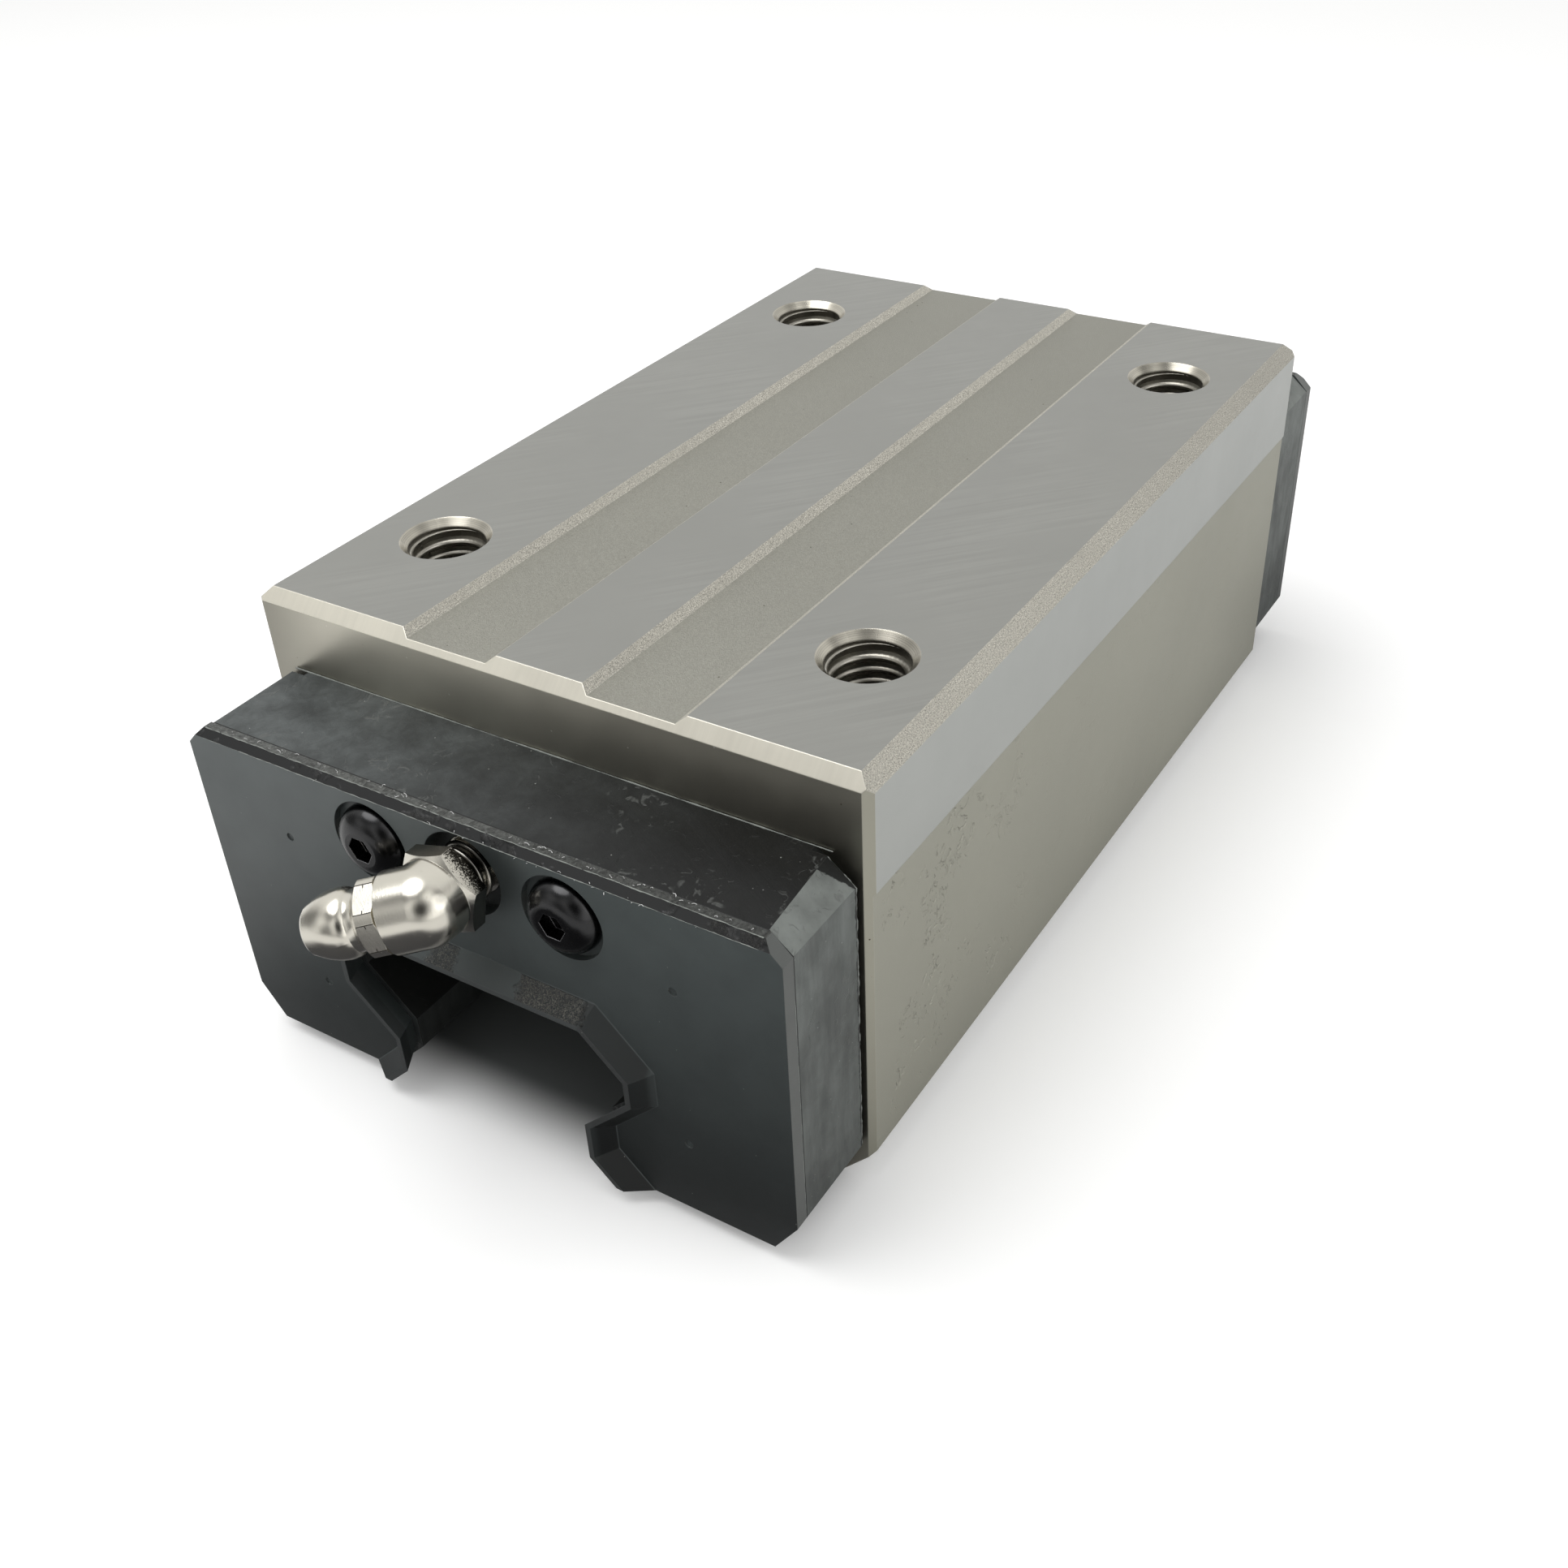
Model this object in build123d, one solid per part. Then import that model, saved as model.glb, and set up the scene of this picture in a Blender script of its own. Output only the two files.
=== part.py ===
from build123d import *
import os
from math import cos, floor, radians, sin, sqrt, tan

# Linear bearing block, narrow long pattern, for a profile rail 34 mm wide.
# X runs across the rail, Y along it and +Z up, in millimetres. The origin is the
# centre of the four tapped holes on the top face. The grease nipple is at the -Y end.

# Rail that the block runs on
assembly_height = 55.0
rail_width = 34.0
rail_height = 29.0
rail_top_facet = 4.4
rail_shoulder_height = 2.6
rail_neck_facet = 5.4
rail_waist_height = 4.5
rail_groove_depth = 1.2

# Steel block
block_width = 70.0
block_height = 47.5
body_length = 106.4
side_chamfer = 1.5
end_chamfer = 1.25
corner_chamfer = 0.8
ground_band = 12.0
band_step = 0.2
foot_chamfer_height = 4.0
foot_chamfer_width = 3.8
relief_inner = 4.95
relief_outer = 16.3
relief_depth = 0.7
relief_wall_run = 0.9
roof_gap = 2.4
side_wall_gap = 1.8
leg_gap = 1.2
leg_flare_gap = 0.6

# Mounting holes on the top face
hole_pitch_across = 50.0
hole_pitch_along = 72.0
mount_thread = 8.0
mount_thread_depth = 12.0
mount_drill = 6.8
mount_drill_depth = 14.2
mount_countersink = 9.6
drill_tip_angle = 118.0

# Balls, raceways and returns
ball_diameter = 6.35
ball_space = 0.25
raceway_conformity = 0.52
block_groove_depth = 1.3
return_bore = 6.8
turn_play = 0.275
upper_return_across = 8.4
upper_return_rise = 5.2
lower_return_across = 10.3
lower_return_drop = 1.0
guide_half_width = 3.0
guide_play = 0.1

# Ball retainers
retainer_gap = 0.15
retainer_mouth = 6.0
retainer_wall_gap = 0.1
retainer_plate = 1.2
retainer_wrap = 0.94
retainer_rail_gap = 0.35
lower_retainer_wall = 0.6
lower_retainer_foot = 42.3
retainer_tab = 2.0
retainer_tab_play = 0.15

# End plates
plate_half_width = 34.0
plate_drop = 8.15
plate_slope = 0.5
plate_bottom = 45.7
plate_depth = 10.9
plate_corner_width = 2.8
plate_corner_height = 2.4
plate_foot_width = 2.6
plate_foot_height = 3.9
plate_rim_gap = 0.8
plate_rim_inset = 1.6
plate_rail_gap = 0.8
cut_over = 1.0
port_depth = 5.6
grease_slot = 1.2
grease_slot_depth = 1.0
upper_feed_drop = 6.2
lower_feed_rise = 2.8
lower_feed_inset = 2.8

# End seals
seal_thickness = 1.6
seal_drop = 8.65
seal_bevel_width = 0.7
seal_bevel_height = 0.8
seal_corner = 1.9
seal_dot = 0.9
seal_dot_depth = 0.15
seal_dot_across = 22.6
seal_dot_drops = (18.1, 36.8)
lip_reach = 1.7
lip_root = 2.5
lip_root_lift = 0.6
lip_edge = 0.6
lip_rail_gap = 0.05
lip_back_gap = 1.6

# Seal screws
screw_offset = 11.2
screw_drop = 14.6
screw_thread = 4.0
screw_hole = 4.5
screw_thread_gap = 0.05
screw_length = 22.0
screw_hole_spare = 2.0
head_diameter = 7.6
head_height = 2.2
head_rim = 0.3
head_flat = 3.7
head_dome_rise = 0.48
head_socket = 2.5
head_socket_depth = 1.3
head_recess = 8.9
head_recess_depth = 0.8

# Grease nipple
port_drop = 14.0
port_opening = 8.9
nipple_thread = 6.0
nipple_thread_core = 5.1
nipple_thread_gap = 0.05
nipple_engagement = 5.4
port_bore = 3.0
nipple_stand_off = 1.5
elbow_hex = 8.0
elbow_hex_height = 2.0
hex_edge = 0.35
elbow_dome = 7.7
elbow_dome_height = 1.6
elbow_angle = 62.0
elbow_turn = 17.0
collar_length = 2.9
nipple_hex = 7.0
nipple_hex_height = 2.2
nipple_hex_turn = 34.0
nipple_corner_cut = 0.24
nipple_stub = 3.6
stub_length = 2.2
head_neck = 5.8
head_ball = 6.5
head_tip = 4.2
head_length = 5.8
head_tip_edge = 0.25
neck_foot = 0.5
neck_waist = 0.035
neck_position = 1.2
bulge_position = 3.0
nipple_feed = 1.2
check_ball = 1.8
check_bore_gap = 0.05
check_seat = 1.3
spring_room = 3.2
spring_wire = 0.25
spring_turns = 4
spring_gap = 0.12

# Plug of the rear grease port
plug_length = 5.0
plug_socket = 3.0
plug_socket_depth = 2.5
plug_sink = 0.4

# Worked-out values
half_body = body_length / 2
rail_top = rail_height - assembly_height
rail_top_flat = rail_width - 2 * rail_top_facet
rail_waist = rail_width - 2 * rail_neck_facet
ball_r = ball_diameter / 2
groove_r = ball_diameter * raceway_conformity
turn_tube = ball_r + turn_play
shoulder_top = rail_top - rail_top_facet
shoulder_foot = shoulder_top - rail_shoulder_height
waist_top = shoulder_foot - rail_neck_facet
waist_foot = waist_top - rail_waist_height
diagonal = sqrt(0.5)
off_facet = (ball_r - rail_groove_depth) * diagonal
upper_x = (rail_width + rail_top_flat) / 4 + off_facet
upper_z = (rail_top + shoulder_top) / 2 + off_facet
lower_x = (rail_width + rail_waist) / 4 + off_facet
lower_z = (shoulder_foot + waist_top) / 2 - off_facet
upper_turn = (upper_return_across, upper_return_rise)
lower_turn = (lower_return_across, -lower_return_drop)
roof_z = rail_top + roof_gap
side_wall = rail_width / 2 + side_wall_gap
leg_x = rail_waist / 2 + leg_gap
land_reach = (ball_r - block_groove_depth) * 2 * diagonal
plate_front = -half_body - plate_depth
seal_front = plate_front - seal_thickness
lip_front = seal_front - lip_reach
head_seat = seal_front + head_recess_depth


def xz_face(points, y):
    return make_face(Polyline([(x, y, z) for x, z in points], close=True))


def prism(points, y_low, y_high):
    return extrude(xz_face(points, y_low), amount=y_high - y_low, dir=(0, 1, 0))


def both_sides(half):
    return half + [(-x, z) for x, z in reversed(half) if x > 0]


def rod_y(x, z, radius, y_low, y_high):
    middle = (y_low + y_high) / 2
    return Pos(x, middle, z) * Rot(X=90) * Cylinder(radius, y_high - y_low)


def rail_outline(gap, bottom):
    """Half of the rail's outline, standing off it by gap, down to bottom."""
    slant = gap * tan(radians(22.5))
    return [
        (0, rail_top + gap),
        (rail_top_flat / 2 + slant, rail_top + gap),
        (rail_width / 2 + gap, shoulder_top + slant),
        (rail_width / 2 + gap, shoulder_foot - slant),
        (rail_waist / 2 + gap, waist_top - slant),
        (rail_waist / 2 + gap, waist_foot + slant),
        (rail_waist / 2 + waist_foot + gap / diagonal - bottom, bottom),
    ]


def plate_outline(top, corner_width, corner_height, inset=0.0):
    half_width = plate_half_width - inset
    return both_sides([
        (0, -top),
        (half_width - corner_width, -top),
        (half_width, -top - corner_height),
        (half_width, -plate_bottom + plate_foot_height),
        (half_width - plate_foot_width, -plate_bottom),
    ])


def block_section():
    upper_land = upper_x + upper_z + land_reach
    lower_land = lower_x - lower_z + land_reach
    flare = rail_waist / 2 + waist_foot + leg_flare_gap / diagonal
    return both_sides([
        (0, 0),
        (relief_inner, 0),
        (relief_inner + relief_wall_run, -relief_depth),
        (relief_outer - relief_wall_run, -relief_depth),
        (relief_outer, 0),
        (block_width / 2 - side_chamfer, 0),
        (block_width / 2, -side_chamfer),
        (block_width / 2, -ground_band),
        (block_width / 2 - band_step, -ground_band - band_step),
        (block_width / 2 - band_step, -block_height + foot_chamfer_height),
        (block_width / 2 - foot_chamfer_width, -block_height),
        (flare + block_height, -block_height),
        (leg_x, flare - leg_x),
        (leg_x, leg_x - lower_land),
        (side_wall, side_wall - lower_land),
        (side_wall, upper_land - side_wall),
        (upper_land - roof_z, roof_z),
        (0, roof_z),
    ])


def mounting_hole(x, y):
    thread = Pos(x, y, -mount_thread_depth / 2) * Cylinder(mount_thread / 2, mount_thread_depth)
    drill = Pos(x, y, -mount_drill_depth / 2) * Cylinder(mount_drill / 2, mount_drill_depth)
    tip_height = mount_drill / 2 / tan(radians(drill_tip_angle / 2))
    tip = Pos(x, y, -mount_drill_depth - tip_height / 2) * Cone(0, mount_drill / 2, tip_height)
    sink_height = (mount_countersink - mount_thread) / 2
    sink = Pos(x, y, -sink_height / 2) * Cone(mount_thread / 2, mount_countersink / 2, sink_height)
    return thread + drill + tip + sink


def block_body():
    body = prism(block_section(), -half_body, half_body)
    for side in (-1, 1):
        for x, z, turn in ((upper_x, upper_z, upper_turn), (lower_x, lower_z, lower_turn)):
            body -= rod_y(side * x, z, groove_r, -half_body, half_body)
            body -= rod_y(side * (x + turn[0]), z + turn[1], return_bore / 2, -half_body, half_body)
        for end in (-1, 1):
            body -= mounting_hole(side * hole_pitch_across / 2, end * hole_pitch_along / 2)
            depth = screw_length + head_seat + half_body + screw_hole_spare
            reach = sorted((end * half_body, end * (half_body - depth)))
            body -= rod_y(side * screw_offset, -screw_drop, screw_thread / 2 + screw_thread_gap, *reach)
    return chamfered_ends(body)


def chamfered_ends(body):
    half = block_width / 2
    for end in (-1, 1):
        face = end * half_body
        ramp = Polyline([(0, face, 0), (0, face - end * end_chamfer, 0), (0, face, -end_chamfer)], close=True)
        body -= extrude(make_face(ramp), amount=half, dir=(1, 0, 0), both=True)
        for side in (-1, 1):
            edge = Polyline([(side * half, face, 0), (side * (half - corner_chamfer), face, 0),
                             (side * half, face - end * corner_chamfer, 0)], close=True)
            body -= extrude(make_face(edge), amount=block_height, dir=(0, 0, -1))
    return body


def turn_axis(x, z, turn):
    """Centre, radius and plane of a half turn between a raceway and its return bore."""
    radius = sqrt(turn[0] ** 2 + turn[1] ** 2) / 2
    centre = Vector(x + turn[0] / 2, -half_body, z + turn[1] / 2)
    across = Vector(turn[0], 0, turn[1]).normalized()
    return radius, Plane(origin=centre, x_dir=across, z_dir=across.cross(Vector(0, 1, 0)))


def circuits():
    return [
        ("upper", "left", -1, upper_x, upper_z, upper_turn),
        ("upper", "right", 1, upper_x, upper_z, upper_turn),
        ("lower", "left", -1, lower_x, lower_z, lower_turn),
        ("lower", "right", 1, lower_x, lower_z, lower_turn),
    ]


def guide_radius(radius):
    return radius - sqrt(turn_tube ** 2 - guide_half_width ** 2)


def return_guides():
    guides = []
    for level, hand, side, x, z, turn in circuits():
        radius, place = turn_axis(side * x, z, (side * turn[0], turn[1]))
        disc = place * Cylinder(guide_radius(radius), 2 * guide_half_width)
        disc -= place * Torus(radius, turn_tube)
        keep = Pos(place.origin.X, -half_body - plate_depth / 2, place.origin.Z)
        guides.append(disc & keep * Box(2 * radius, plate_depth, 2 * radius))
    return guides


def feed_slot(start, end):
    (x0, z0), (x1, z1) = start, end
    wide = abs(x1 - x0) + grease_slot
    high = abs(z1 - z0) + grease_slot
    middle = Pos((x0 + x1) / 2, -half_body - grease_slot_depth / 2, (z0 + z1) / 2)
    return middle * Box(wide, grease_slot_depth, high)


def grease_feeds():
    port = -port_drop
    low = port - upper_feed_drop
    high = port + lower_feed_rise
    slots = feed_slot((0, port), (0, low)) + feed_slot((0, port), (0, high))
    for side in (-1, 1):
        outer = side * (plate_half_width - lower_feed_inset)
        pocket = side * (lower_x + lower_turn[0])
        level = lower_z + lower_turn[1]
        slots += feed_slot((0, low), (side * (upper_x + upper_turn[0] / 2), low))
        slots += feed_slot((0, high), (outer, high))
        slots += feed_slot((outer, high), (outer, level))
        slots += feed_slot((outer, level), (pocket, level))
    return slots


def end_plate():
    corner = (plate_drop, plate_corner_width, plate_corner_height)
    plate = prism(plate_outline(*corner), plate_front, -half_body - plate_rim_gap)
    plate += prism(plate_outline(*corner, plate_rim_inset), -half_body - plate_rim_gap, -half_body)
    slope = Polyline([(0, plate_front, 0), (0, -half_body, 0), (0, -half_body, -plate_drop),
                      (0, plate_front, -plate_drop - plate_slope)], close=True)
    plate -= extrude(make_face(slope), amount=block_width, dir=(1, 0, 0), both=True)
    plate -= prism(both_sides(rail_outline(plate_rail_gap, -block_height)), plate_front - cut_over,
                   -half_body + cut_over)
    for level, hand, side, x, z, turn in circuits():
        radius, place = turn_axis(side * x, z, (side * turn[0], turn[1]))
        plate -= place * Torus(radius, turn_tube)
        plate -= place * Cylinder(guide_radius(radius) + guide_play, 2 * (guide_half_width + guide_play))
    for side in (-1, 1):
        plate -= rod_y(side * screw_offset, -screw_drop, screw_hole / 2, plate_front, -half_body)
    port = nipple_thread / 2 + nipple_thread_gap
    plate -= rod_y(0, -port_drop, port, plate_front, plate_front + port_depth)
    plate -= rod_y(0, -port_drop, port_bore / 2, plate_front, -half_body)
    plate -= grease_feeds()
    slot = offset(top_retainer_face(-half_body), amount=retainer_tab_play)
    return plate - extrude(slot, amount=retainer_tab + retainer_tab_play, dir=(0, -1, 0))


def end_seal():
    seal = prism(plate_outline(seal_drop, seal_corner, seal_corner), seal_front, plate_front)
    bevel = Polyline([(0, seal_front, -seal_drop), (0, seal_front + seal_bevel_width, -seal_drop),
                      (0, seal_front, -seal_drop - seal_bevel_height)], close=True)
    seal -= extrude(make_face(bevel), amount=plate_half_width, dir=(1, 0, 0), both=True)
    root = rail_outline(lip_root, -plate_bottom)
    root = root[:3] + [(x, z + lip_root_lift) for x, z in root[3:5]] + root[5:]
    root = xz_face(both_sides(root), seal_front)
    edge = xz_face(both_sides(rail_outline(lip_rail_gap + lip_edge, -plate_bottom)), lip_front)
    seal += loft([root, edge], ruled=True)
    back = xz_face(both_sides(rail_outline(lip_back_gap, -block_height)), plate_front)
    mouth = xz_face(both_sides(rail_outline(lip_rail_gap, -block_height)), lip_front)
    seal -= loft([back, mouth], ruled=True)
    for side in (-1, 1):
        seal -= rod_y(side * screw_offset, -screw_drop, head_recess / 2, seal_front, head_seat)
        seal -= rod_y(side * screw_offset, -screw_drop, screw_hole / 2, seal_front, plate_front)
        for drop in seal_dot_drops:
            floor_y = seal_front + seal_dot_depth
            seal -= rod_y(side * seal_dot_across, -drop, seal_dot / 2, seal_front, floor_y)
    return seal - rod_y(0, -port_drop, port_opening / 2, seal_front, plate_front)


def seal_screws():
    rim = head_diameter / 2
    profile = Polyline([(head_flat / 2, head_height), (0, head_height), (0, -screw_length),
                        (screw_thread / 2, -screw_length), (screw_thread / 2, 0), (rim, 0), (rim, head_rim)])
    dome = SagittaArc((head_flat / 2, head_height), (rim, head_rim), head_dome_rise)
    screw = revolve(Plane.XZ * make_face(profile.edges() + dome.edges()), axis=Axis.Z)
    socket = extrude(RegularPolygon(head_socket / 2, 6, major_radius=False), amount=head_socket_depth)
    screw -= Pos(0, 0, head_height - head_socket_depth) * socket
    return [Pos(side * screw_offset, head_seat, -screw_drop) * Rot(X=90) * screw for side in (-1, 1)]


def loop_balls(side, x, z, turn):
    """Balls of one endless circuit: two straight rows and one ball on each turn."""
    row = floor(body_length / (ball_diameter + ball_space)) + 1
    pitch = body_length / (row - 1)
    reach = half_body + sqrt(turn[0] ** 2 + turn[1] ** 2) / 2
    spots = []
    for number in range(row):
        y = number * pitch - half_body
        spots += [(x, y, z), (x + turn[0], y, z + turn[1])]
    for end in (-1, 1):
        spots.append((x + turn[0] / 2, end * reach, z + turn[1] / 2))
    return [Pos(side * bx, by, bz) * Sphere(ball_r) for bx, by, bz in spots]


def lip_point(x, z, along, across):
    """Point on a retainer's lip: along the way out of the raceway, and across it."""
    round_r = ball_r + retainer_gap
    half_mouth = retainer_mouth / 2
    depth = sqrt(round_r ** 2 - half_mouth ** 2)
    return (x + along[0] * depth * diagonal + across[0] * half_mouth * diagonal,
            z + along[1] * depth * diagonal + across[1] * half_mouth * diagonal)


def arc_round(x, z, start, end, y):
    """Arc about a ball's centre between two points at the retainer's radius."""
    round_r = ball_r + retainer_gap
    middle = Vector((start[0] + end[0]) / 2 - x, (start[1] + end[1]) / 2 - z).normalized() * round_r
    return ThreePointArc((start[0], y, start[1]), (x + middle.X, y, z + middle.Y), (end[0], y, end[1]))


def outline_face(pieces):
    return make_face([edge for piece in pieces for edge in piece.edges()])


def run(points, y):
    return Polyline([(x, y, z) for x, z in points])


def top_retainer_face(y):
    round_r = ball_r + retainer_gap
    top = roof_z - retainer_wall_gap
    plate = top - retainer_plate
    lip = lip_point(upper_x, upper_z, (-1, -1), (-1, 1))
    rise = min(top - upper_z, round_r * retainer_wrap)
    shoulder = (upper_x - sqrt(round_r ** 2 - rise ** 2), upper_z + rise)
    inner = (lip[0] - retainer_plate, plate)
    right = [(0, top), (shoulder[0], top), shoulder] if rise < top - upper_z else [(0, top), shoulder]
    left = [(-x, z) for x, z in right]
    low = [(lip[0], lip[1]), inner, (-inner[0], plate), (-lip[0], lip[1])]
    return outline_face([
        run(right, y),
        arc_round(upper_x, upper_z, shoulder, lip, y),
        run(low, y),
        arc_round(-upper_x, upper_z, (-lip[0], lip[1]), (-shoulder[0], shoulder[1]), y),
        run(list(reversed(left)), y),
    ])


def top_retainer():
    length = half_body + retainer_tab
    return extrude(top_retainer_face(-length), amount=2 * length, dir=(0, 1, 0))


def side_retainer():
    round_r = ball_r + retainer_gap
    outer = side_wall - retainer_wall_gap
    upper_lip = lip_point(upper_x, upper_z, (-1, -1), (1, -1))
    lower_lip = lip_point(lower_x, lower_z, (-1, 1), (1, 1))
    inner = max(rail_width / 2 + retainer_rail_gap, upper_lip[0])
    top = (outer, upper_z - sqrt(round_r ** 2 - (outer - upper_x) ** 2))
    foot = (outer, lower_z + sqrt(round_r ** 2 - (outer - lower_x) ** 2))
    y = -half_body
    face = outline_face([
        arc_round(upper_x, upper_z, top, upper_lip, y),
        run([upper_lip, (inner, shoulder_top), (inner, shoulder_foot), lower_lip], y),
        arc_round(lower_x, lower_z, lower_lip, foot, y),
        run([foot, top], y),
    ])
    return extrude(face, amount=body_length, dir=(0, 1, 0))


def lower_retainer():
    round_r = ball_r + retainer_gap
    lip = lip_point(lower_x, lower_z, (-1, 1), (-1, -1))
    outer = leg_x - retainer_wall_gap
    inner = outer - lower_retainer_wall
    land = lower_x - lower_z + land_reach - 2 * retainer_wall_gap * diagonal
    reach = (land - lower_x + lower_z) * diagonal
    chord = sqrt(round_r ** 2 - reach ** 2)
    corner = (lower_x + (reach - chord) * diagonal, lower_z - (reach + chord) * diagonal)
    foot = -lower_retainer_foot
    y = -half_body
    face = outline_face([
        arc_round(lower_x, lower_z, lip, corner, y),
        run([corner, (outer, outer - land), (outer, foot), (inner, foot), (inner, lip[1]), lip], y),
    ])
    return extrude(face, amount=body_length, dir=(0, 1, 0))


def elbow_centre():
    out = seal_front - nipple_stand_off - elbow_hex_height - elbow_dome_height
    return Vector(0, out, -port_drop)


def nipple_direction():
    bend = radians(elbow_angle)
    turn = radians(elbow_turn)
    return Vector(-sin(bend) * cos(turn), -cos(bend), -sin(bend) * sin(turn))


def head_plane(distance):
    way = nipple_direction()
    return Plane(origin=elbow_centre() + way * distance, x_dir=Vector(0, 0, 1).cross(way), z_dir=way)


def hex_bar(flats, height, edge, foot_edge, corner_cut=0.0):
    """Hexagon bar standing on z = 0, its corners turned off above and, with foot_edge, below."""
    corner = flats / sqrt(3) - corner_cut
    bar = extrude(RegularPolygon(flats / 2, 6, major_radius=False), amount=height)
    slope = (corner - flats / 2 + edge) * tan(radians(30))
    foot = [(0, 0), (flats / 2 - edge, 0), (corner, slope)] if foot_edge else [(0, 0), (corner, 0)]
    top = [(corner, height - slope), (flats / 2 - edge, height), (0, height)]
    return bar & revolve(Plane.XZ * make_face(Polyline(foot + top, close=True)), axis=Axis.Z)


def nipple_elbow():
    centre = elbow_centre()
    hex_back = seal_front - nipple_stand_off
    place = Plane(origin=(0, hex_back, -port_drop), x_dir=(1, 0, 0), z_dir=(0, -1, 0))
    thread_end = plate_front + nipple_engagement
    elbow = place * Rot(Z=elbow_turn) * hex_bar(elbow_hex, elbow_hex_height, hex_edge, False)
    elbow += rod_y(0, -port_drop, nipple_thread / 2, plate_front, thread_end)
    elbow += rod_y(0, -port_drop, nipple_thread_core / 2, hex_back, plate_front)
    dome_r = elbow_dome / 2
    bend = rod_y(0, -port_drop, dome_r, centre.Y, hex_back - elbow_hex_height / 2)
    bend += Pos(centre) * Sphere(dome_r)
    bend -= head_plane(collar_length + dome_r / 2) * Cylinder(dome_r, dome_r)
    elbow += bend + head_plane(collar_length / 2) * Cylinder(dome_r, collar_length)
    stub = nipple_stub / 2 + nipple_thread_gap
    elbow -= head_plane(collar_length - stub_length / 2) * Cylinder(stub, stub_length)
    elbow -= head_plane(collar_length / 2) * Cylinder(nipple_feed / 2, collar_length)
    return elbow - rod_y(0, -port_drop, nipple_feed / 2, centre.Y, thread_end)


def check_depths():
    """Distances from the hexagon's outer face to the check ball and to its spring's seat."""
    ball_at = head_length - check_ball / 2 - check_bore_gap
    return ball_at, ball_at - check_ball / 2 - spring_room


def nipple_head():
    at = nipple_hex_height
    bore = check_ball / 2 + check_bore_gap
    ball_at, spring_seat = check_depths()
    neck = head_neck / 2
    middle = at + (neck_foot + neck_position) / 2
    tip_foot = (head_tip / 2 + head_tip_edge, at + head_length - head_tip_edge)
    foot = Polyline([(0, at), (nipple_hex / 2 - hex_edge, at), (neck, at + neck_foot)])
    throat = ThreePointArc((neck, at + neck_foot), (neck - neck_waist, middle), (neck, at + neck_position))
    bulge = Spline((neck, at + neck_position), (head_ball / 2, at + bulge_position), tip_foot,
                   tangents=((1, 1), (-1, 2)))
    tip = Polyline([tip_foot, (head_tip / 2, at + head_length), (0, at + head_length), (0, at)])
    pieces = foot.edges() + throat.edges() + bulge.edges() + tip.edges()
    head = revolve(Plane.XZ * make_face(pieces), axis=Axis.Z)
    hexagon = hex_bar(nipple_hex, nipple_hex_height, hex_edge / 2, True, nipple_corner_cut)
    head += Rot(Z=nipple_hex_turn) * hexagon
    head += Pos(0, 0, -stub_length / 2) * Cylinder(nipple_stub / 2, stub_length)
    room = at + ball_at
    seat = at + spring_seat
    head -= Pos(0, 0, (room + seat) / 2) * Cylinder(bore, room - seat)
    head -= Pos(0, 0, room) * Sphere(bore)
    head -= Pos(0, 0, at + head_length) * Cylinder(check_seat / 2, 2 * (head_length - ball_at))
    head -= Pos(0, 0, (seat - stub_length) / 2) * Cylinder(nipple_feed / 2, seat + stub_length)
    return head_plane(collar_length) * head


def nipple_check_ball():
    ball_at, spring_seat = check_depths()
    return head_plane(collar_length + nipple_hex_height + ball_at) * Sphere(check_ball / 2)


def nipple_spring():
    ball_at, spring_seat = check_depths()
    radius = check_ball / 2 - spring_wire / 2 - spring_gap / 2
    free = ball_at - check_ball / 2 - spring_seat - spring_gap - spring_wire
    path = Helix(pitch=free / spring_turns, height=free, radius=radius)
    section = Plane(origin=path @ 0, z_dir=path % 0) * Circle(spring_wire / 2)
    coil = sweep(section, path=path)
    base = collar_length + nipple_hex_height + spring_seat + spring_wire / 2 + spring_gap / 2
    return head_plane(base) * coil


def rear_port_plug():
    plug = Cylinder(nipple_thread / 2, plug_length)
    socket = extrude(RegularPolygon(plug_socket / 2, 6, major_radius=False), amount=plug_socket_depth)
    plug -= Pos(0, 0, plug_length / 2 - plug_socket_depth) * socket
    plug = chamfer(plug.edges().filter_by(GeomType.CIRCLE), length=hex_edge)
    middle = -plate_front - plug_sink - plug_length / 2
    return Pos(0, middle, -port_drop) * Rot(X=-90) * plug


def save(name, shape):
    solids = shape if isinstance(shape, list) else [shape]
    group = Compound(children=solids) if len(solids) > 1 else solids[0]
    export_step(group, f"parts/{name}.step")


def rear(shape):
    solids = shape if isinstance(shape, list) else [shape]
    return [mirror(solid, about=Plane.XZ) for solid in solids]


def left(shape):
    return mirror(shape, about=Plane.YZ)


def main():
    os.makedirs("parts", exist_ok=True)
    save("block_body", block_body())
    for name, shape in (("end_plate", end_plate()), ("end_seal", end_seal()),
                        ("screws", seal_screws()), ("return_guides", return_guides())):
        save(f"front_{name}", shape)
        save(f"rear_{name}", rear(shape))
    for level, hand, side, x, z, turn in circuits():
        save(f"balls_{level}_{hand}", loop_balls(side, x, z, turn))
    save("top_retainer", top_retainer())
    for name, shape in (("side_retainer", side_retainer()), ("lower_retainer", lower_retainer())):
        save(f"{name}_right", shape)
        save(f"{name}_left", left(shape))
    save("nipple_elbow", nipple_elbow())
    save("nipple_head", nipple_head())
    save("nipple_check_ball", nipple_check_ball())
    save("nipple_spring", nipple_spring())
    save("rear_port_plug", rear_port_plug())


main()
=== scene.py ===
import bpy
import bmesh
import math
from functools import reduce
from mathutils import Matrix, Vector


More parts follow.
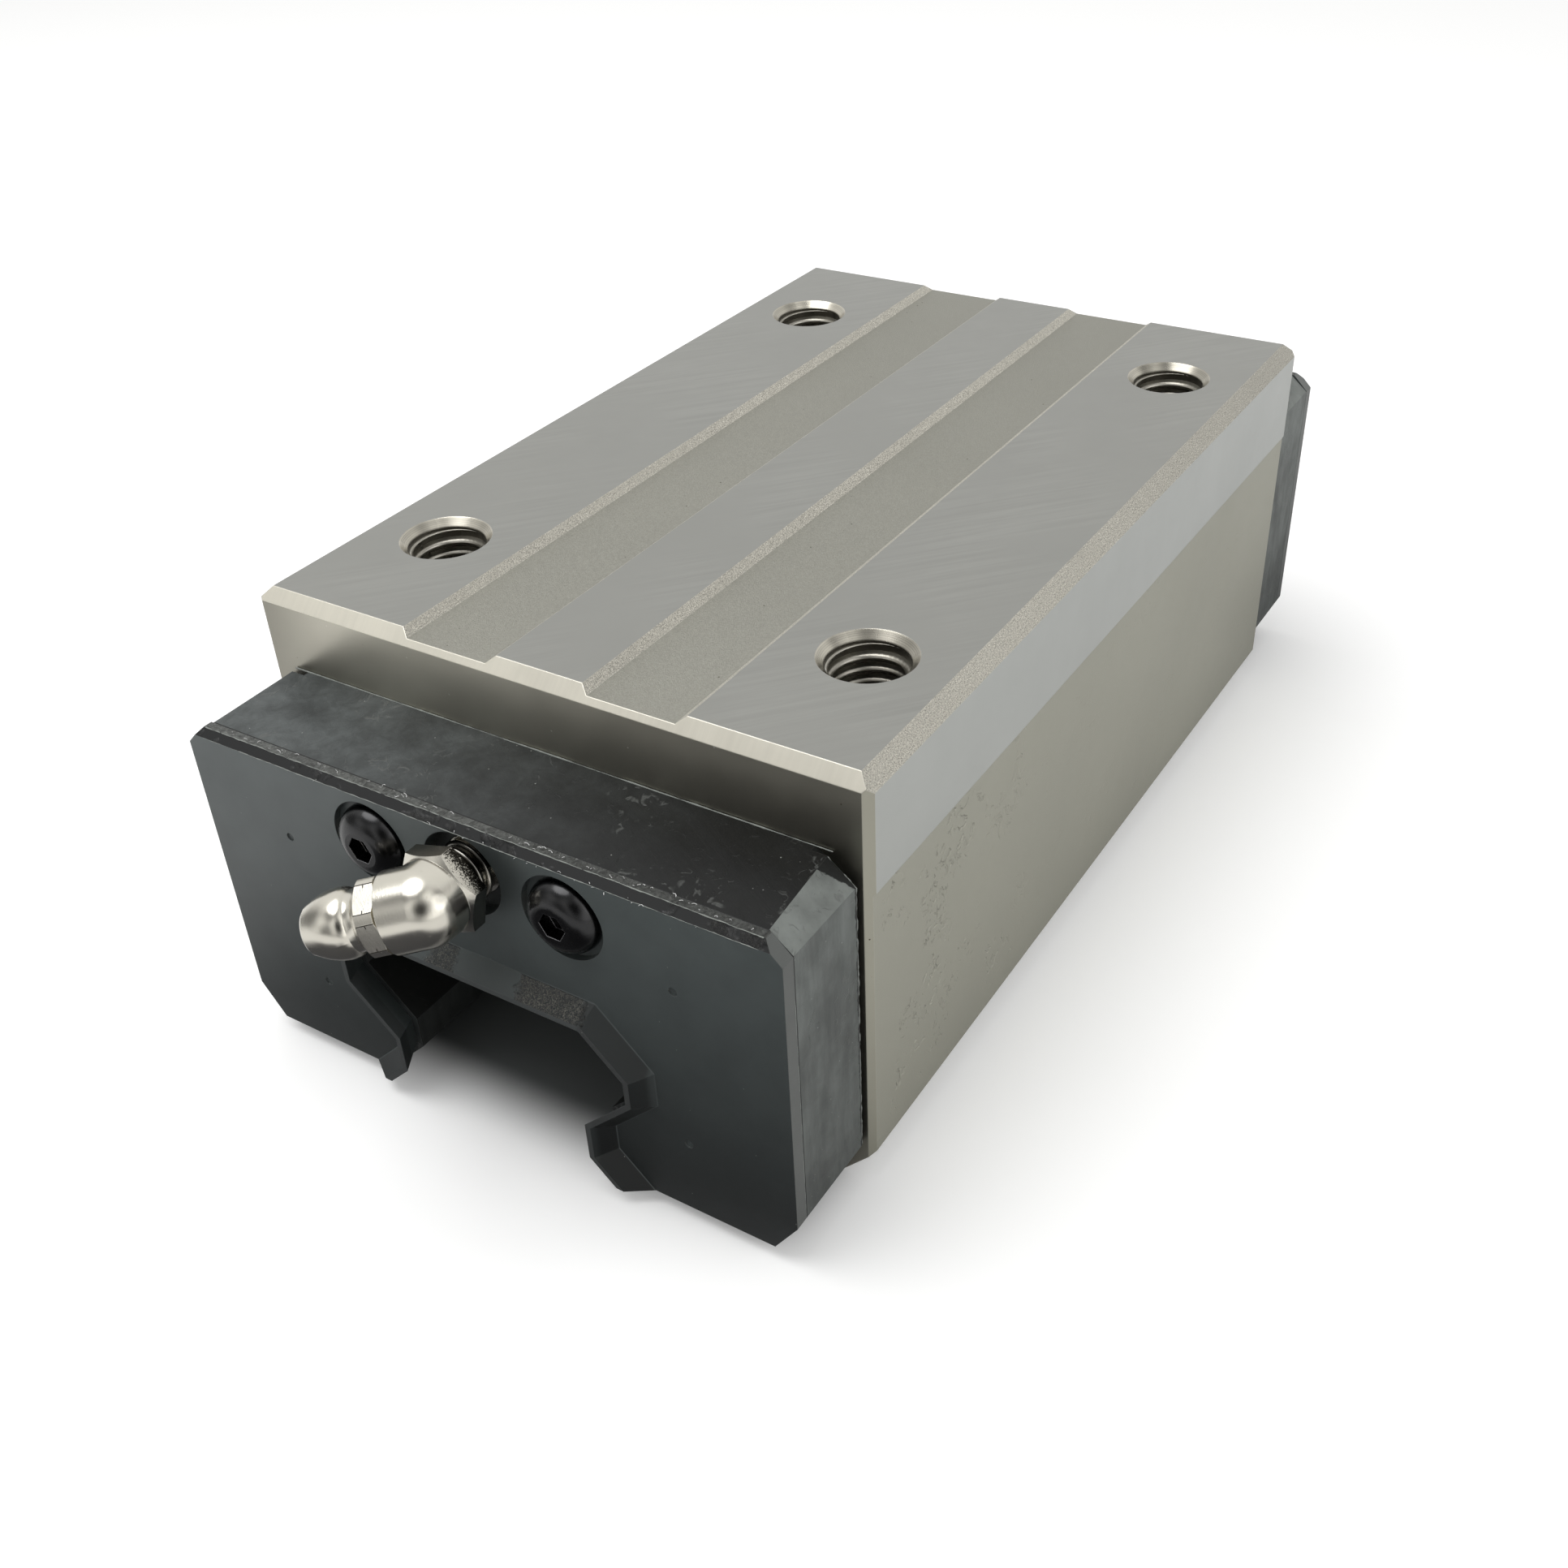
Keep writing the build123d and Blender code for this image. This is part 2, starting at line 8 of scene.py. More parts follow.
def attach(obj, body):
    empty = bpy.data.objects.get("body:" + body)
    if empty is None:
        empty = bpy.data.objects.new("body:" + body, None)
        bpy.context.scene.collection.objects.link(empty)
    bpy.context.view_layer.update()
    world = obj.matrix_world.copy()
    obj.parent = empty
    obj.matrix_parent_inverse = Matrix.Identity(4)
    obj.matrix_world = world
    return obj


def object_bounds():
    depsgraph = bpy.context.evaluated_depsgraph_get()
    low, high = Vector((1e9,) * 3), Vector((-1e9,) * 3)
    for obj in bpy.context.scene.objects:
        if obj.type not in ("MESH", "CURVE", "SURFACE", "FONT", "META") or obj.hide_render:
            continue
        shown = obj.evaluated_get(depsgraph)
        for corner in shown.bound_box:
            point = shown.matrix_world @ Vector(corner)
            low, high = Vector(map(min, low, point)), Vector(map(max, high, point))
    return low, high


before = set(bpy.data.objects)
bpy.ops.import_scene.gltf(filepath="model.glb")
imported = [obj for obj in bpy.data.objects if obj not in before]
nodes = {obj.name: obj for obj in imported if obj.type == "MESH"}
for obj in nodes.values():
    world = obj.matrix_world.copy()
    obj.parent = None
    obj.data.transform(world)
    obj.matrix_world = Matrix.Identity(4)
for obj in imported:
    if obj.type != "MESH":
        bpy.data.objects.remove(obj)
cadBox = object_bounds()
mm = 0.001
print("frame loaded:", len(nodes), "nodes")


# small helpers for node trees

def addNode(tree, kind, settings=None, sockets=None):
    made = tree.nodes.new(kind)
    for key, value in (settings or {}).items():
        setattr(made, key, value)
    for key, value in (sockets or {}).items():
        feed(tree, made.inputs[key], value)
    return made


def feed(tree, socket, value):
    # a node stands for its first output
    if isinstance(value, bpy.types.Node):
        value = value.outputs[0]
    if isinstance(value, bpy.types.NodeSocket):
        tree.links.new(value, socket)
    else:
        socket.default_value = value


def calc(tree, operation, a, b=0.0, clamp=False):
    made = addNode(tree, "ShaderNodeMath", {"operation": operation, "use_clamp": clamp}, {0: a, 1: b})
    return made.outputs[0]


def vectorCalc(tree, operation, a, b=None):
    made = addNode(tree, "ShaderNodeVectorMath", {"operation": operation}, {0: a})
    if b is not None:
        feed(tree, made.inputs["Scale" if operation == "SCALE" else 1], b)
    return made.outputs["Value" if operation in ("DOT_PRODUCT", "LENGTH") else "Vector"]


def between(tree, value, low, high):
    # 0 below low, 1 above high, smooth in between
    made = addNode(tree, "ShaderNodeMapRange", {"interpolation_type": "SMOOTHSTEP"},
                   {"Value": value, "From Min": low, "From Max": high})
    return made.outputs[0]


def spread(tree, value, low, high):
    # a 0..1 value laid out between low and high
    made = addNode(tree, "ShaderNodeMapRange", None, {"Value": value, "To Min": low, "To Max": high})
    return made.outputs[0]


def tint(tree, amount, first, second, mode="MIX"):
    made = addNode(tree, "ShaderNodeMix", {"data_type": "RGBA", "blend_type": mode},
                   {0: amount, 6: first, 7: second})
    return made.outputs[2]


def blend(tree, amount, first, second):
    made = addNode(tree, "ShaderNodeMix", {"data_type": "FLOAT"}, {0: amount, 2: first, 3: second})
    return made.outputs[0]


def shade(tree, colour, level):
    # the colour made lighter or darker by a factor
    return tint(tree, 1.0, colour, level, "MULTIPLY")


def turned(tree, point, rotation=(0, 0, 0), stretch=(1, 1, 1)):
    # turned first, then stretched along the turned axes
    spun = addNode(tree, "ShaderNodeMapping", None, {"Vector": point, "Rotation": rotation})
    return vectorCalc(tree, "MULTIPLY", spun, stretch)


def grain(tree, point, scale, detail=3.0, rough=0.55, stretch=None, twist=0.0):
    if stretch:
        point = turned(tree, point, stretch=stretch)
    made = addNode(tree, "ShaderNodeTexNoise", None, {
        "Vector": point, "Scale": scale, "Detail": detail, "Roughness": rough, "Distortion": twist})
    return made.outputs[0]


def contrast(tree, noise, low, high):
    # a noise's middle values widened to 0..1, then laid out between low and high
    return spread(tree, between(tree, noise, 0.30, 0.70), low, high)


def scratches(tree, point, scale, patchScale, share, seed):
    # short curved scratches: thin ridges of one noise, kept only in patches of another
    away = vectorCalc(tree, "ADD", point, (seed, seed * 2.3, seed * 0.7))
    wave = size(tree, calc(tree, "SUBTRACT", grain(tree, away, scale, 2.0, 0.5, twist=0.8), 0.5))
    ridge = opposite(tree, both(tree, wave, 22.0))
    broken = between(tree, grain(tree, away, scale * 1.3, 3.0, 0.6), 0.50, 0.58)
    patch = between(tree, grain(tree, away, patchScale, 2.0, 0.5), share, share + 0.08)
    return both(tree, ridge, broken, patch)


def dents(tree, point, scale, radius, share):
    # separate spots in a share of the cells: 1 inside a spot
    cells = addNode(tree, "ShaderNodeTexVoronoi", None, {"Vector": point, "Scale": scale})
    inside = below(tree, cells.outputs["Distance"], radius * 0.4, radius)
    pick = parts(tree, cells.outputs["Color"])[0]
    return both(tree, inside, below(tree, pick, share, share + 0.02))


def objectPoint(tree):
    # object coordinates in millimetres
    return vectorCalc(tree, "SCALE", addNode(tree, "ShaderNodeTexCoord").outputs["Object"], 1000.0)


def parts(tree, vector):
    return tuple(addNode(tree, "ShaderNodeSeparateXYZ", None, {0: vector}).outputs)


def size(tree, value):
    return calc(tree, "ABSOLUTE", value)


def both(tree, *masks):
    return reduce(lambda a, b: calc(tree, "MULTIPLY", a, b), masks)


def either(tree, *masks):
    return reduce(lambda a, b: calc(tree, "MAXIMUM", a, b), masks)


def opposite(tree, mask):
    return calc(tree, "SUBTRACT", 1.0, mask, clamp=True)


def below(tree, value, low, high):
    # 1 below low, 0 above high, smooth in between
    return opposite(tree, between(tree, value, low, high))


def window(tree, value, low, high, soft):
    # 1 between low and high, with soft ends
    return both(tree, between(tree, value, low - soft, low + soft),
                below(tree, value, high - soft, high + soft))


def softEdge(tree, radius):
    return addNode(tree, "ShaderNodeBevel", {"samples": 6}, {"Radius": radius * mm}).outputs[0]


def edgeWear(tree, bevel, low, high):
    # 1 along the sharp edges, where the rounded normal leaves the true one
    leaning = vectorCalc(tree, "DOT_PRODUCT", bevel, trueNormal(tree))
    return between(tree, calc(tree, "SUBTRACT", 1.0, leaning), low, high)


def newFinish(name):
    finish = bpy.data.materials.new(name)
    finish.use_nodes = True
    tree = finish.node_tree
    shader = tree.nodes["Principled BSDF"]
    return finish, tree, shader


def reachFrom(tree, a, b):
    # distance from the axis where both offsets are 0
    return calc(tree, "SQRT", calc(tree, "ADD", both(tree, a, a), both(tree, b, b)))


def trueNormal(tree):
    return addNode(tree, "ShaderNodeNewGeometry").outputs["True Normal"]


def shadeWhere(tree, colour, mask, level):
    # the colour made lighter or darker only where the mask is 1
    return shade(tree, colour, blend(tree, mask, 1.0, level))


def plug(tree, shader, colour, rough, normal, *layers):
    # each relief layer is a height, its depth in millimetres and its strength
    for height, depth, strength in layers:
        bump = addNode(tree, "ShaderNodeBump", None,
                       {"Height": height, "Distance": depth * mm, "Strength": strength})
        if normal is not None:
            feed(tree, bump.inputs["Normal"], normal)
        normal = bump.outputs[0]
    for label, value in (("Base Color", colour), ("Roughness", rough), ("Normal", normal)):
        tree.links.new(value, shader.inputs[label])


def newObject(name, data):
    made = bpy.data.objects.new(name, data)
    bpy.context.scene.collection.objects.link(made)
    return made


def facing(tree, component):
    # 1 on flat faces whose normal runs along this axis
    return between(tree, component, 0.90, 0.97)


def srgb(red, green, blue):
    def linear(level):
        level = level / 255.0
        return level / 12.92 if level <= 0.04045 else ((level + 0.055) / 1.055) ** 2.4
    return (linear(red), linear(green), linear(blue), 1.0)


def dress(finish, *names):
    for name in names:
        slots = nodes[name].data.materials
        slots.clear()
        slots.append(finish)


# camera, light and floor

cameraSettings = {
    "eye": (0.090540, -0.148733, 0.078622),
    "right": (0.849560, 0.525971, -0.040036),
    "up": (-0.280664, 0.514987, 0.809948),
    "back": (0.446628, -0.676863, 0.585133),
    "lens": 38.7554,
    "shift": (-0.005446, 0.008616),
}


def makeCamera(s):
    data = bpy.data.cameras.new("photoCamera")
    data.lens, data.sensor_width = s["lens"], 36.0
    data.shift_x, data.shift_y = s["shift"]
    data.clip_start, data.clip_end = 0.005, 20.0
    camera = newObject("photoCamera", data)
    turn = Matrix((s["right"], s["up"], s["back"])).transposed().to_4x4()
    camera.matrix_world = Matrix.Translation(s["eye"]) @ turn
    bpy.context.scene.camera = camera


lightSettings = {
    "worldLevel": 0.55,
    "glossLevel": 0.90,
    "worldColour": (1.0, 1.0, 0.985, 1.0),
    "topSky": (-0.447, 0.677, 0.585),  # this part of the room stays bright, for the ground top
    "topSkyEdge": (0.35, 0.75),
    "roomScale": 1.4,
    "roomDark": 0.25,
    "roomBright": 1.5,
    "lamps": [
        # name, place, size, watts
        ("overheadSoftbox", (-0.20, -0.16, 0.70), 0.60, 3.2),
        ("rightSoftbox", (0.75, 0.05, 0.40), 0.60, 0.8),
    ],
    "lampTarget": (0, 0, -0.02),
    "cardPlace": (0.15, -0.26, 0.12),
    "cardTarget": (0, -0.07, -0.015),
    "cardSize": 0.40,
    "cardCore": 0.04,
    "cardColour": (0.01, 0.01, 0.01, 1.0),
    "floorSize": 6.0,
    "floorColour": (0.92, 0.92, 0.92, 1.0),
    "floorBounce": (0.60, 0.60, 0.60, 1.0),
    "shadowColour": (0.08, 0.08, 0.085, 1.0),
    "underShadowColour": (0.16, 0.17, 0.17, 1.0),
    "underAcross": (0.026, 0.034),  # the painted shadow under the part fades out between these
    "underAlong": (0.058, 0.067),
    "beforeAcross": (0.030, 0.060),
    "beforeStart": 0.065,
    "beforeReach": 0.075,
    "floorGlow": 0.25,
}


def makeWorld(s):
    world = bpy.data.worlds.new("studio")
    bpy.context.scene.world = world
    world.use_nodes = True
    tree = world.node_tree
    path = addNode(tree, "ShaderNodeLightPath")
    mirrored = calc(tree, "MAXIMUM", path.outputs["Is Glossy Ray"], path.outputs["Is Transmission Ray"])
    # the mirrored room has soft dark patches, except near topSky
    way = addNode(tree, "ShaderNodeTexCoord").outputs["Generated"]
    toSky = vectorCalc(tree, "DOT_PRODUCT", way, s["topSky"])
    free = below(tree, toSky, *s["topSkyEdge"])
    patches = contrast(tree, grain(tree, way, s["roomScale"], 0.0, 0.5), s["roomDark"], s["roomBright"])
    room = blend(tree, free, 1.0, patches)
    level = blend(tree, mirrored, s["worldLevel"], both(tree, room, s["glossLevel"]))
    soft = addNode(tree, "ShaderNodeBackground", None, {"Color": s["worldColour"], "Strength": level})
    white = addNode(tree, "ShaderNodeBackground", None, {"Color": (1, 1, 1, 1), "Strength": 1.0})
    mix = addNode(tree, "ShaderNodeMixShader", None,
                  {0: path.outputs["Is Camera Ray"], 1: soft, 2: white})
    tree.links.new(mix.outputs[0], tree.nodes["World Output"].inputs[0])


def makeLamps(s):
    target = Vector(s["lampTarget"])
    for name, place, width, watts in s["lamps"]:
        data = bpy.data.lights.new(name, "AREA")
        data.shape = "DISK"
        data.size = width
        data.energy = watts
        lamp = newObject(name, data)
        lamp.location = place
        lamp.rotation_euler = (target - Vector(place)).to_track_quat("-Z", "Y").to_euler()


def squareMesh(name, centre, across, upward):
    corners = [tuple(centre + across * a + upward * b) for a, b in ((-1, -1), (1, -1), (1, 1), (-1, 1))]
    mesh = bpy.data.meshes.new(name)
    mesh.from_pydata(corners, [], [(0, 1, 2, 3)])
    return mesh


def makeCard(s):
    # dark card beside the camera, seen only as a soft dark spot in the bright plating
    centre = Vector(s["cardPlace"])
    toNipple = (Vector(s["cardTarget"]) - centre).normalized()
    across = toNipple.cross(Vector((0, 0, 1))).normalized() * s["cardSize"] / 2
    upward = across.cross(toNipple).normalized() * s["cardSize"] / 2
    mesh = squareMesh("darkCard", centre, across, upward)
    card = newObject("darkCard", mesh)
    finish, tree, shader = newFinish("cardFelt")
    shader.inputs["Base Color"].default_value = s["cardColour"]
    shader.inputs["Roughness"].default_value = 0.9
    place = addNode(tree, "ShaderNodeTexCoord").outputs["Object"]
    reach = vectorCalc(tree, "LENGTH", vectorCalc(tree, "SUBTRACT", place, tuple(centre)))
    solid = below(tree, reach, s["cardCore"], s["cardSize"] / 2)
    tree.links.new(solid, shader.inputs["Alpha"])
    mesh.materials.append(finish)
    card.visible_camera = card.visible_diffuse = card.visible_shadow = False


def makeFloor(s):
    half = s["floorSize"] / 2
    mesh = squareMesh("floor", Vector((0, 0, cadBox[0].z)), Vector((half, 0, 0)), Vector((0, half, 0)))
    floor = newObject("floor", mesh)
    finish, tree = newFinish("floorPaper")[:2]
    tree.nodes.clear()
    path = addNode(tree, "ShaderNodeLightPath")
    # painted shadow: the paper under the part is dark, and, mirrored in the nipple, also the paper before its
    # ends
    x, y = parts(tree, addNode(tree, "ShaderNodeTexCoord").outputs["Object"])[:2]
    ax, ay = size(tree, x), size(tree, y)
    shadowUnderPart = both(tree, below(tree, ax, *s["underAcross"]), below(tree, ay, *s["underAlong"]))
    before = both(tree, below(tree, ax, *s["beforeAcross"]),
                  window(tree, ay, s["beforeStart"], s["beforeStart"] + s["beforeReach"], 0.010))
    seen = either(tree, path.outputs["Is Camera Ray"], path.outputs["Is Glossy Ray"])
    colour = tint(tree, seen, s["floorBounce"], s["floorColour"])
    colour = tint(tree, both(tree, before, path.outputs["Is Glossy Ray"]), colour, s["shadowColour"])
    colour = tint(tree, shadowUnderPart, colour, s["underShadowColour"])
    paper = addNode(tree, "ShaderNodeBsdfDiffuse", None, {"Color": colour})
    lit = both(tree, path.outputs["Is Camera Ray"], opposite(tree, shadowUnderPart))
    glowLevel = both(tree, lit, s["floorGlow"])
    glow = addNode(tree, "ShaderNodeEmission", None, {"Strength": glowLevel})
    total = addNode(tree, "ShaderNodeAddShader", None, {0: paper, 1: glow})
    addNode(tree, "ShaderNodeOutputMaterial", None, {"Surface": total})
    mesh.materials.append(finish)


makeCamera(cameraSettings)
makeWorld(lightSettings)
makeLamps(lightSettings)
makeCard(lightSettings)
makeFloor(lightSettings)
bpy.context.scene.view_settings.view_transform = "Standard"
print("camera, lamps and floor ready")


# steel block

steelSettings = {
    "ground": srgb(157, 157, 153),
    "groove": srgb(156, 155, 147),
    "rawSide": srgb(169, 168, 157),
    "sideBand": srgb(177, 179, 176),
    "blasted": srgb(188, 185, 176),
    "endCut": srgb(219, 215, 202),
    "corner": srgb(159, 157, 145),
    "endFace": srgb(168, 165, 154),
    "channel": srgb(60, 60, 58),
    "bore": srgb(112, 109, 101),
    "sink": srgb(176, 172, 161),
    "dirt": srgb(96, 92, 76),
    "speck": srgb(78, 72, 62),
    "paleSpeck": srgb(230, 228, 218),
    "wornEdge": srgb(206, 204, 196),
    "holeSpot": (25.0, 36.0),  # millimetres from the middle of the top
    "groundRough": 0.36,
    "rawRough": 0.50,
    "blastedRough": 0.58,
    "sinkRough": 0.28,
    "wheelAngles": (-48, -44),  # degrees, of the wide and the fine grinding arcs
    "speckleScale": 8.0,
    "speckleDepth": 0.22,
    "scarCrowd": (0.12, 1.0),  # away from the end, and beside it
    "scarShare": 0.53,
    "smallScarShare": 0.55,
    "scarDepth": 0.22,
    "edge": 0.14,
}


def steelFinish(s):
    finish, tree, shader = newFinish("groundSteel")
    point = objectPoint(tree)
    x, y, z = parts(tree, point)
    nx, ny, nz = parts(tree, trueNormal(tree))
    endward = size(tree, ny)
    ax, ay = size(tree, x), size(tree, y)
    flatUp = facing(tree, nz)
    sideways = facing(tree, size(tree, nx))
    endways = facing(tree, endward)
    slanted = both(tree, between(tree, nz, 0.20, 0.35), opposite(tree, flatUp))
    low = below(tree, z, -0.45, -0.25)
    grooveMask = both(tree, flatUp, low)
    groundMask = both(tree, flatUp, opposite(tree, low))
    bandMask = both(tree, sideways, between(tree, ax, 34.86, 34.94))
    rawSideMask = both(tree, sideways, opposite(tree, bandMask))
    endCutMask = both(tree, slanted, between(tree, endward, 0.3, 0.5))
    cornerMask = both(tree, opposite(tree, slanted), window(tree, endward, 0.6, 0.8, 0.05))
    insideMask = both(tree, below(tree, z, -24.0, -23.0), below(tree, ax, 22.0, 23.0))
    holeX, holeY = s["holeSpot"]
    holeR = reachFrom(tree, calc(tree, "SUBTRACT", ax, holeX), calc(tree, "SUBTRACT", ay, holeY))
    holeMask = both(tree, below(tree, holeR, 4.03, 4.08), between(tree, z, -16.5, -16.0))
    sinkMask = both(tree, below(tree, holeR, 4.79, 4.84), slanted)
    blastMask = both(tree, slanted, opposite(tree, endCutMask), opposite(tree, sinkMask))

    # colours of the machined, blasted and raw faces
    colour = tint(tree, grooveMask, s["ground"], s["groove"])
    for mask, face in ((bandMask, "sideBand"), (rawSideMask, "rawSide"), (endways, "endFace"),
                       (blastMask, "blasted"), (endCutMask, "endCut"), (cornerMask, "corner"),
                       (insideMask, "channel"), (sinkMask, "sink"), (holeMask, "bore")):
        colour = tint(tree, mask, colour, s[face])

    # wide faint clouds, a slight oily cast on the raw faces, and painted light and shade: the end faces
    # darker toward +X
    cloud = grain(tree, point, 0.055, 4.0, 0.6)
    colour = shade(tree, colour, spread(tree, cloud, 0.92, 1.08))
    rawMask = either(tree, grooveMask, rawSideMask)
    warm = both(tree, rawMask, grain(tree, point, 0.11, 3.0, 0.5))
    colour = tint(tree, both(tree, warm, 0.10), colour, s["dirt"])
    across = both(tree, spread(tree, between(tree, x, -36.0, 36.0), 1.80, 0.88),
                  spread(tree, between(tree, x, -36.0, -18.0), 0.42, 1.0))
    colour = shadeWhere(tree, colour, endways, across)
    # painted light and shade: the end chamfer lighter at the left, darker at the right
    cutAcross = spread(tree, between(tree, x, -34.0, 34.0), 1.26, 0.82)
    colour = shadeWhere(tree, colour, endCutMask, cutAcross)

    # arcs left by the cup wheel on the ground faces, nearly invisible
    wide, narrow = (math.radians(angle) for angle in s["wheelAngles"])
    arcs = grain(tree, turned(tree, point, (0, 0, wide), (0.05, 1.3, 1.0)), 1.0, 4.0, 0.6, twist=0.3)
    fineArcs = grain(tree, turned(tree, point, (0, 0, narrow), (0.10, 6.0, 1.0)), 1.0, 3.0, 0.6)
    arcPatch = both(tree, groundMask, between(tree, grain(tree, point, 0.06, 2.0, 0.5), 0.40, 0.60))
    colour = shadeWhere(tree, colour, arcPatch, contrast(tree, arcs, 0.95, 1.05))

    # blasted grain, strongest on the long chamfers and the groove walls
    speckle = grain(tree, point, s["speckleScale"], 3.0, 0.7)
    fine = grain(tree, point, 5.0, 3.0, 0.65)
    frontward = between(tree, y, 50.0, -35.0)
    colour = shadeWhere(tree, colour, blastMask, contrast(tree, speckle, 0.62, 1.42))
    backward = blend(tree, both(tree, blastMask, between(tree, ax, 32.0, 33.0)), 1.0,
                     spread(tree, frontward, 0.82, 1.0))
    colour = shade(tree, colour, backward)
    pebbles = both(tree, grooveMask, spread(tree, frontward, 0.25, 1.0))
    colour = shadeWhere(tree, colour, pebbles, contrast(tree, fine, 0.90, 1.10))

    # scars of the raw sides, crowded near the front, and specks
    crowd = spread(tree, between(tree, y, -10.0, -46.0), *s["scarCrowd"])
    scars = scratches(tree, point, 0.42, 0.10, s["scarShare"], 3.0)
    smallScars = scratches(tree, point, 0.95, 0.16, s["smallScarShare"], 8.0)
    scarred = both(tree, either(tree, scars, smallScars), rawSideMask, crowd)
    colour = shade(tree, colour, spread(tree, scarred, 1.0, 0.86))
    specks = both(tree, dents(tree, point, 0.9, 0.11, 0.10), either(tree, rawMask, cornerMask, endways))
    colour = tint(tree, specks, colour, s["speck"])
    whiteSpecks = both(tree, dents(tree, turned(tree, point, (0.4, 0.3, 0.9)), 0.7, 0.09, 0.09), endways)
    colour = tint(tree, whiteSpecks, colour, s["paleSpeck"])

    # turned rings in the countersinks, and tool lines on the end chamfer
    rings = addNode(tree, "ShaderNodeTexNoise", {"noise_dimensions": "1D"},
                    {"W": both(tree, holeR, 9.0), "Scale": 1.0, "Detail": 2.0}).outputs[0]
    colour = shadeWhere(tree, colour, sinkMask, contrast(tree, rings, 0.84, 1.14))
    toolLines = grain(tree, point, 1.0, 3.0, 0.6, (2.2, 0.1, 0.1))
    colour = shadeWhere(tree, colour, endCutMask, spread(tree, toolLines, 0.93, 1.06))
    bevel = softEdge(tree, s["edge"])
    worn = both(tree, edgeWear(tree, bevel, 0.004, 0.12), opposite(tree, either(tree, insideMask, holeMask)))
    colour = tint(tree, both(tree, worn, 0.35), colour, s["wornEdge"])
    shader.inputs["Metallic"].default_value = 1.0

    rough = blend(tree, rawMask, s["groundRough"], s["rawRough"])
    rough = blend(tree, blastMask, rough, s["blastedRough"])
    rough = blend(tree, sinkMask, rough, s["sinkRough"])
    smear = spread(tree, grain(tree, point, 0.14, 4.0, 0.65), -0.07, 0.07)
    rough = calc(tree, "ADD", rough, smear)

    grainy = either(tree, blastMask, both(tree, grooveMask, 0.3))
    plug(tree, shader, colour, rough, bevel,
         (both(tree, arcs, groundMask), 0.010, 0.5),
         (both(tree, fineArcs, groundMask), 0.003, 0.5),
         (both(tree, fine, either(tree, rawMask, blastMask)), 0.03, 0.7),
         (both(tree, speckle, grainy), s["speckleDepth"], 0.9),
         (opposite(tree, scarred), s["scarDepth"], 1.0))
    return finish


dress(steelFinish(steelSettings), "block_body")
print("steel dressed")


# end plates and seals

plateSettings = {
    "ledge": srgb(57, 60, 60),
    # the side and corner colours are lighter than the ledge: painted light from the right, with some scuffing
    "side": srgb(92, 96, 94),
    "corner": srgb(116, 120, 117),
    "smear": srgb(98, 100, 98),
    "dust": srgb(150, 152, 148),
    "rearRimShade": srgb(30, 31, 30),
    "joint": srgb(16, 17, 17),
    "rough": 0.42,
    "shine": 0.28,
    "across": (1.75, 0.10),  # painted light and shade: how light the top is at the left and at the right
    "upward": (0.76, 1.27),  # and painted light and shade on the sides, at the foot and at the top
    "inside": 0.35,
    "scrapeShare": 0.50,
    "scraped": 0.60,
    "edge": 0.12,
}


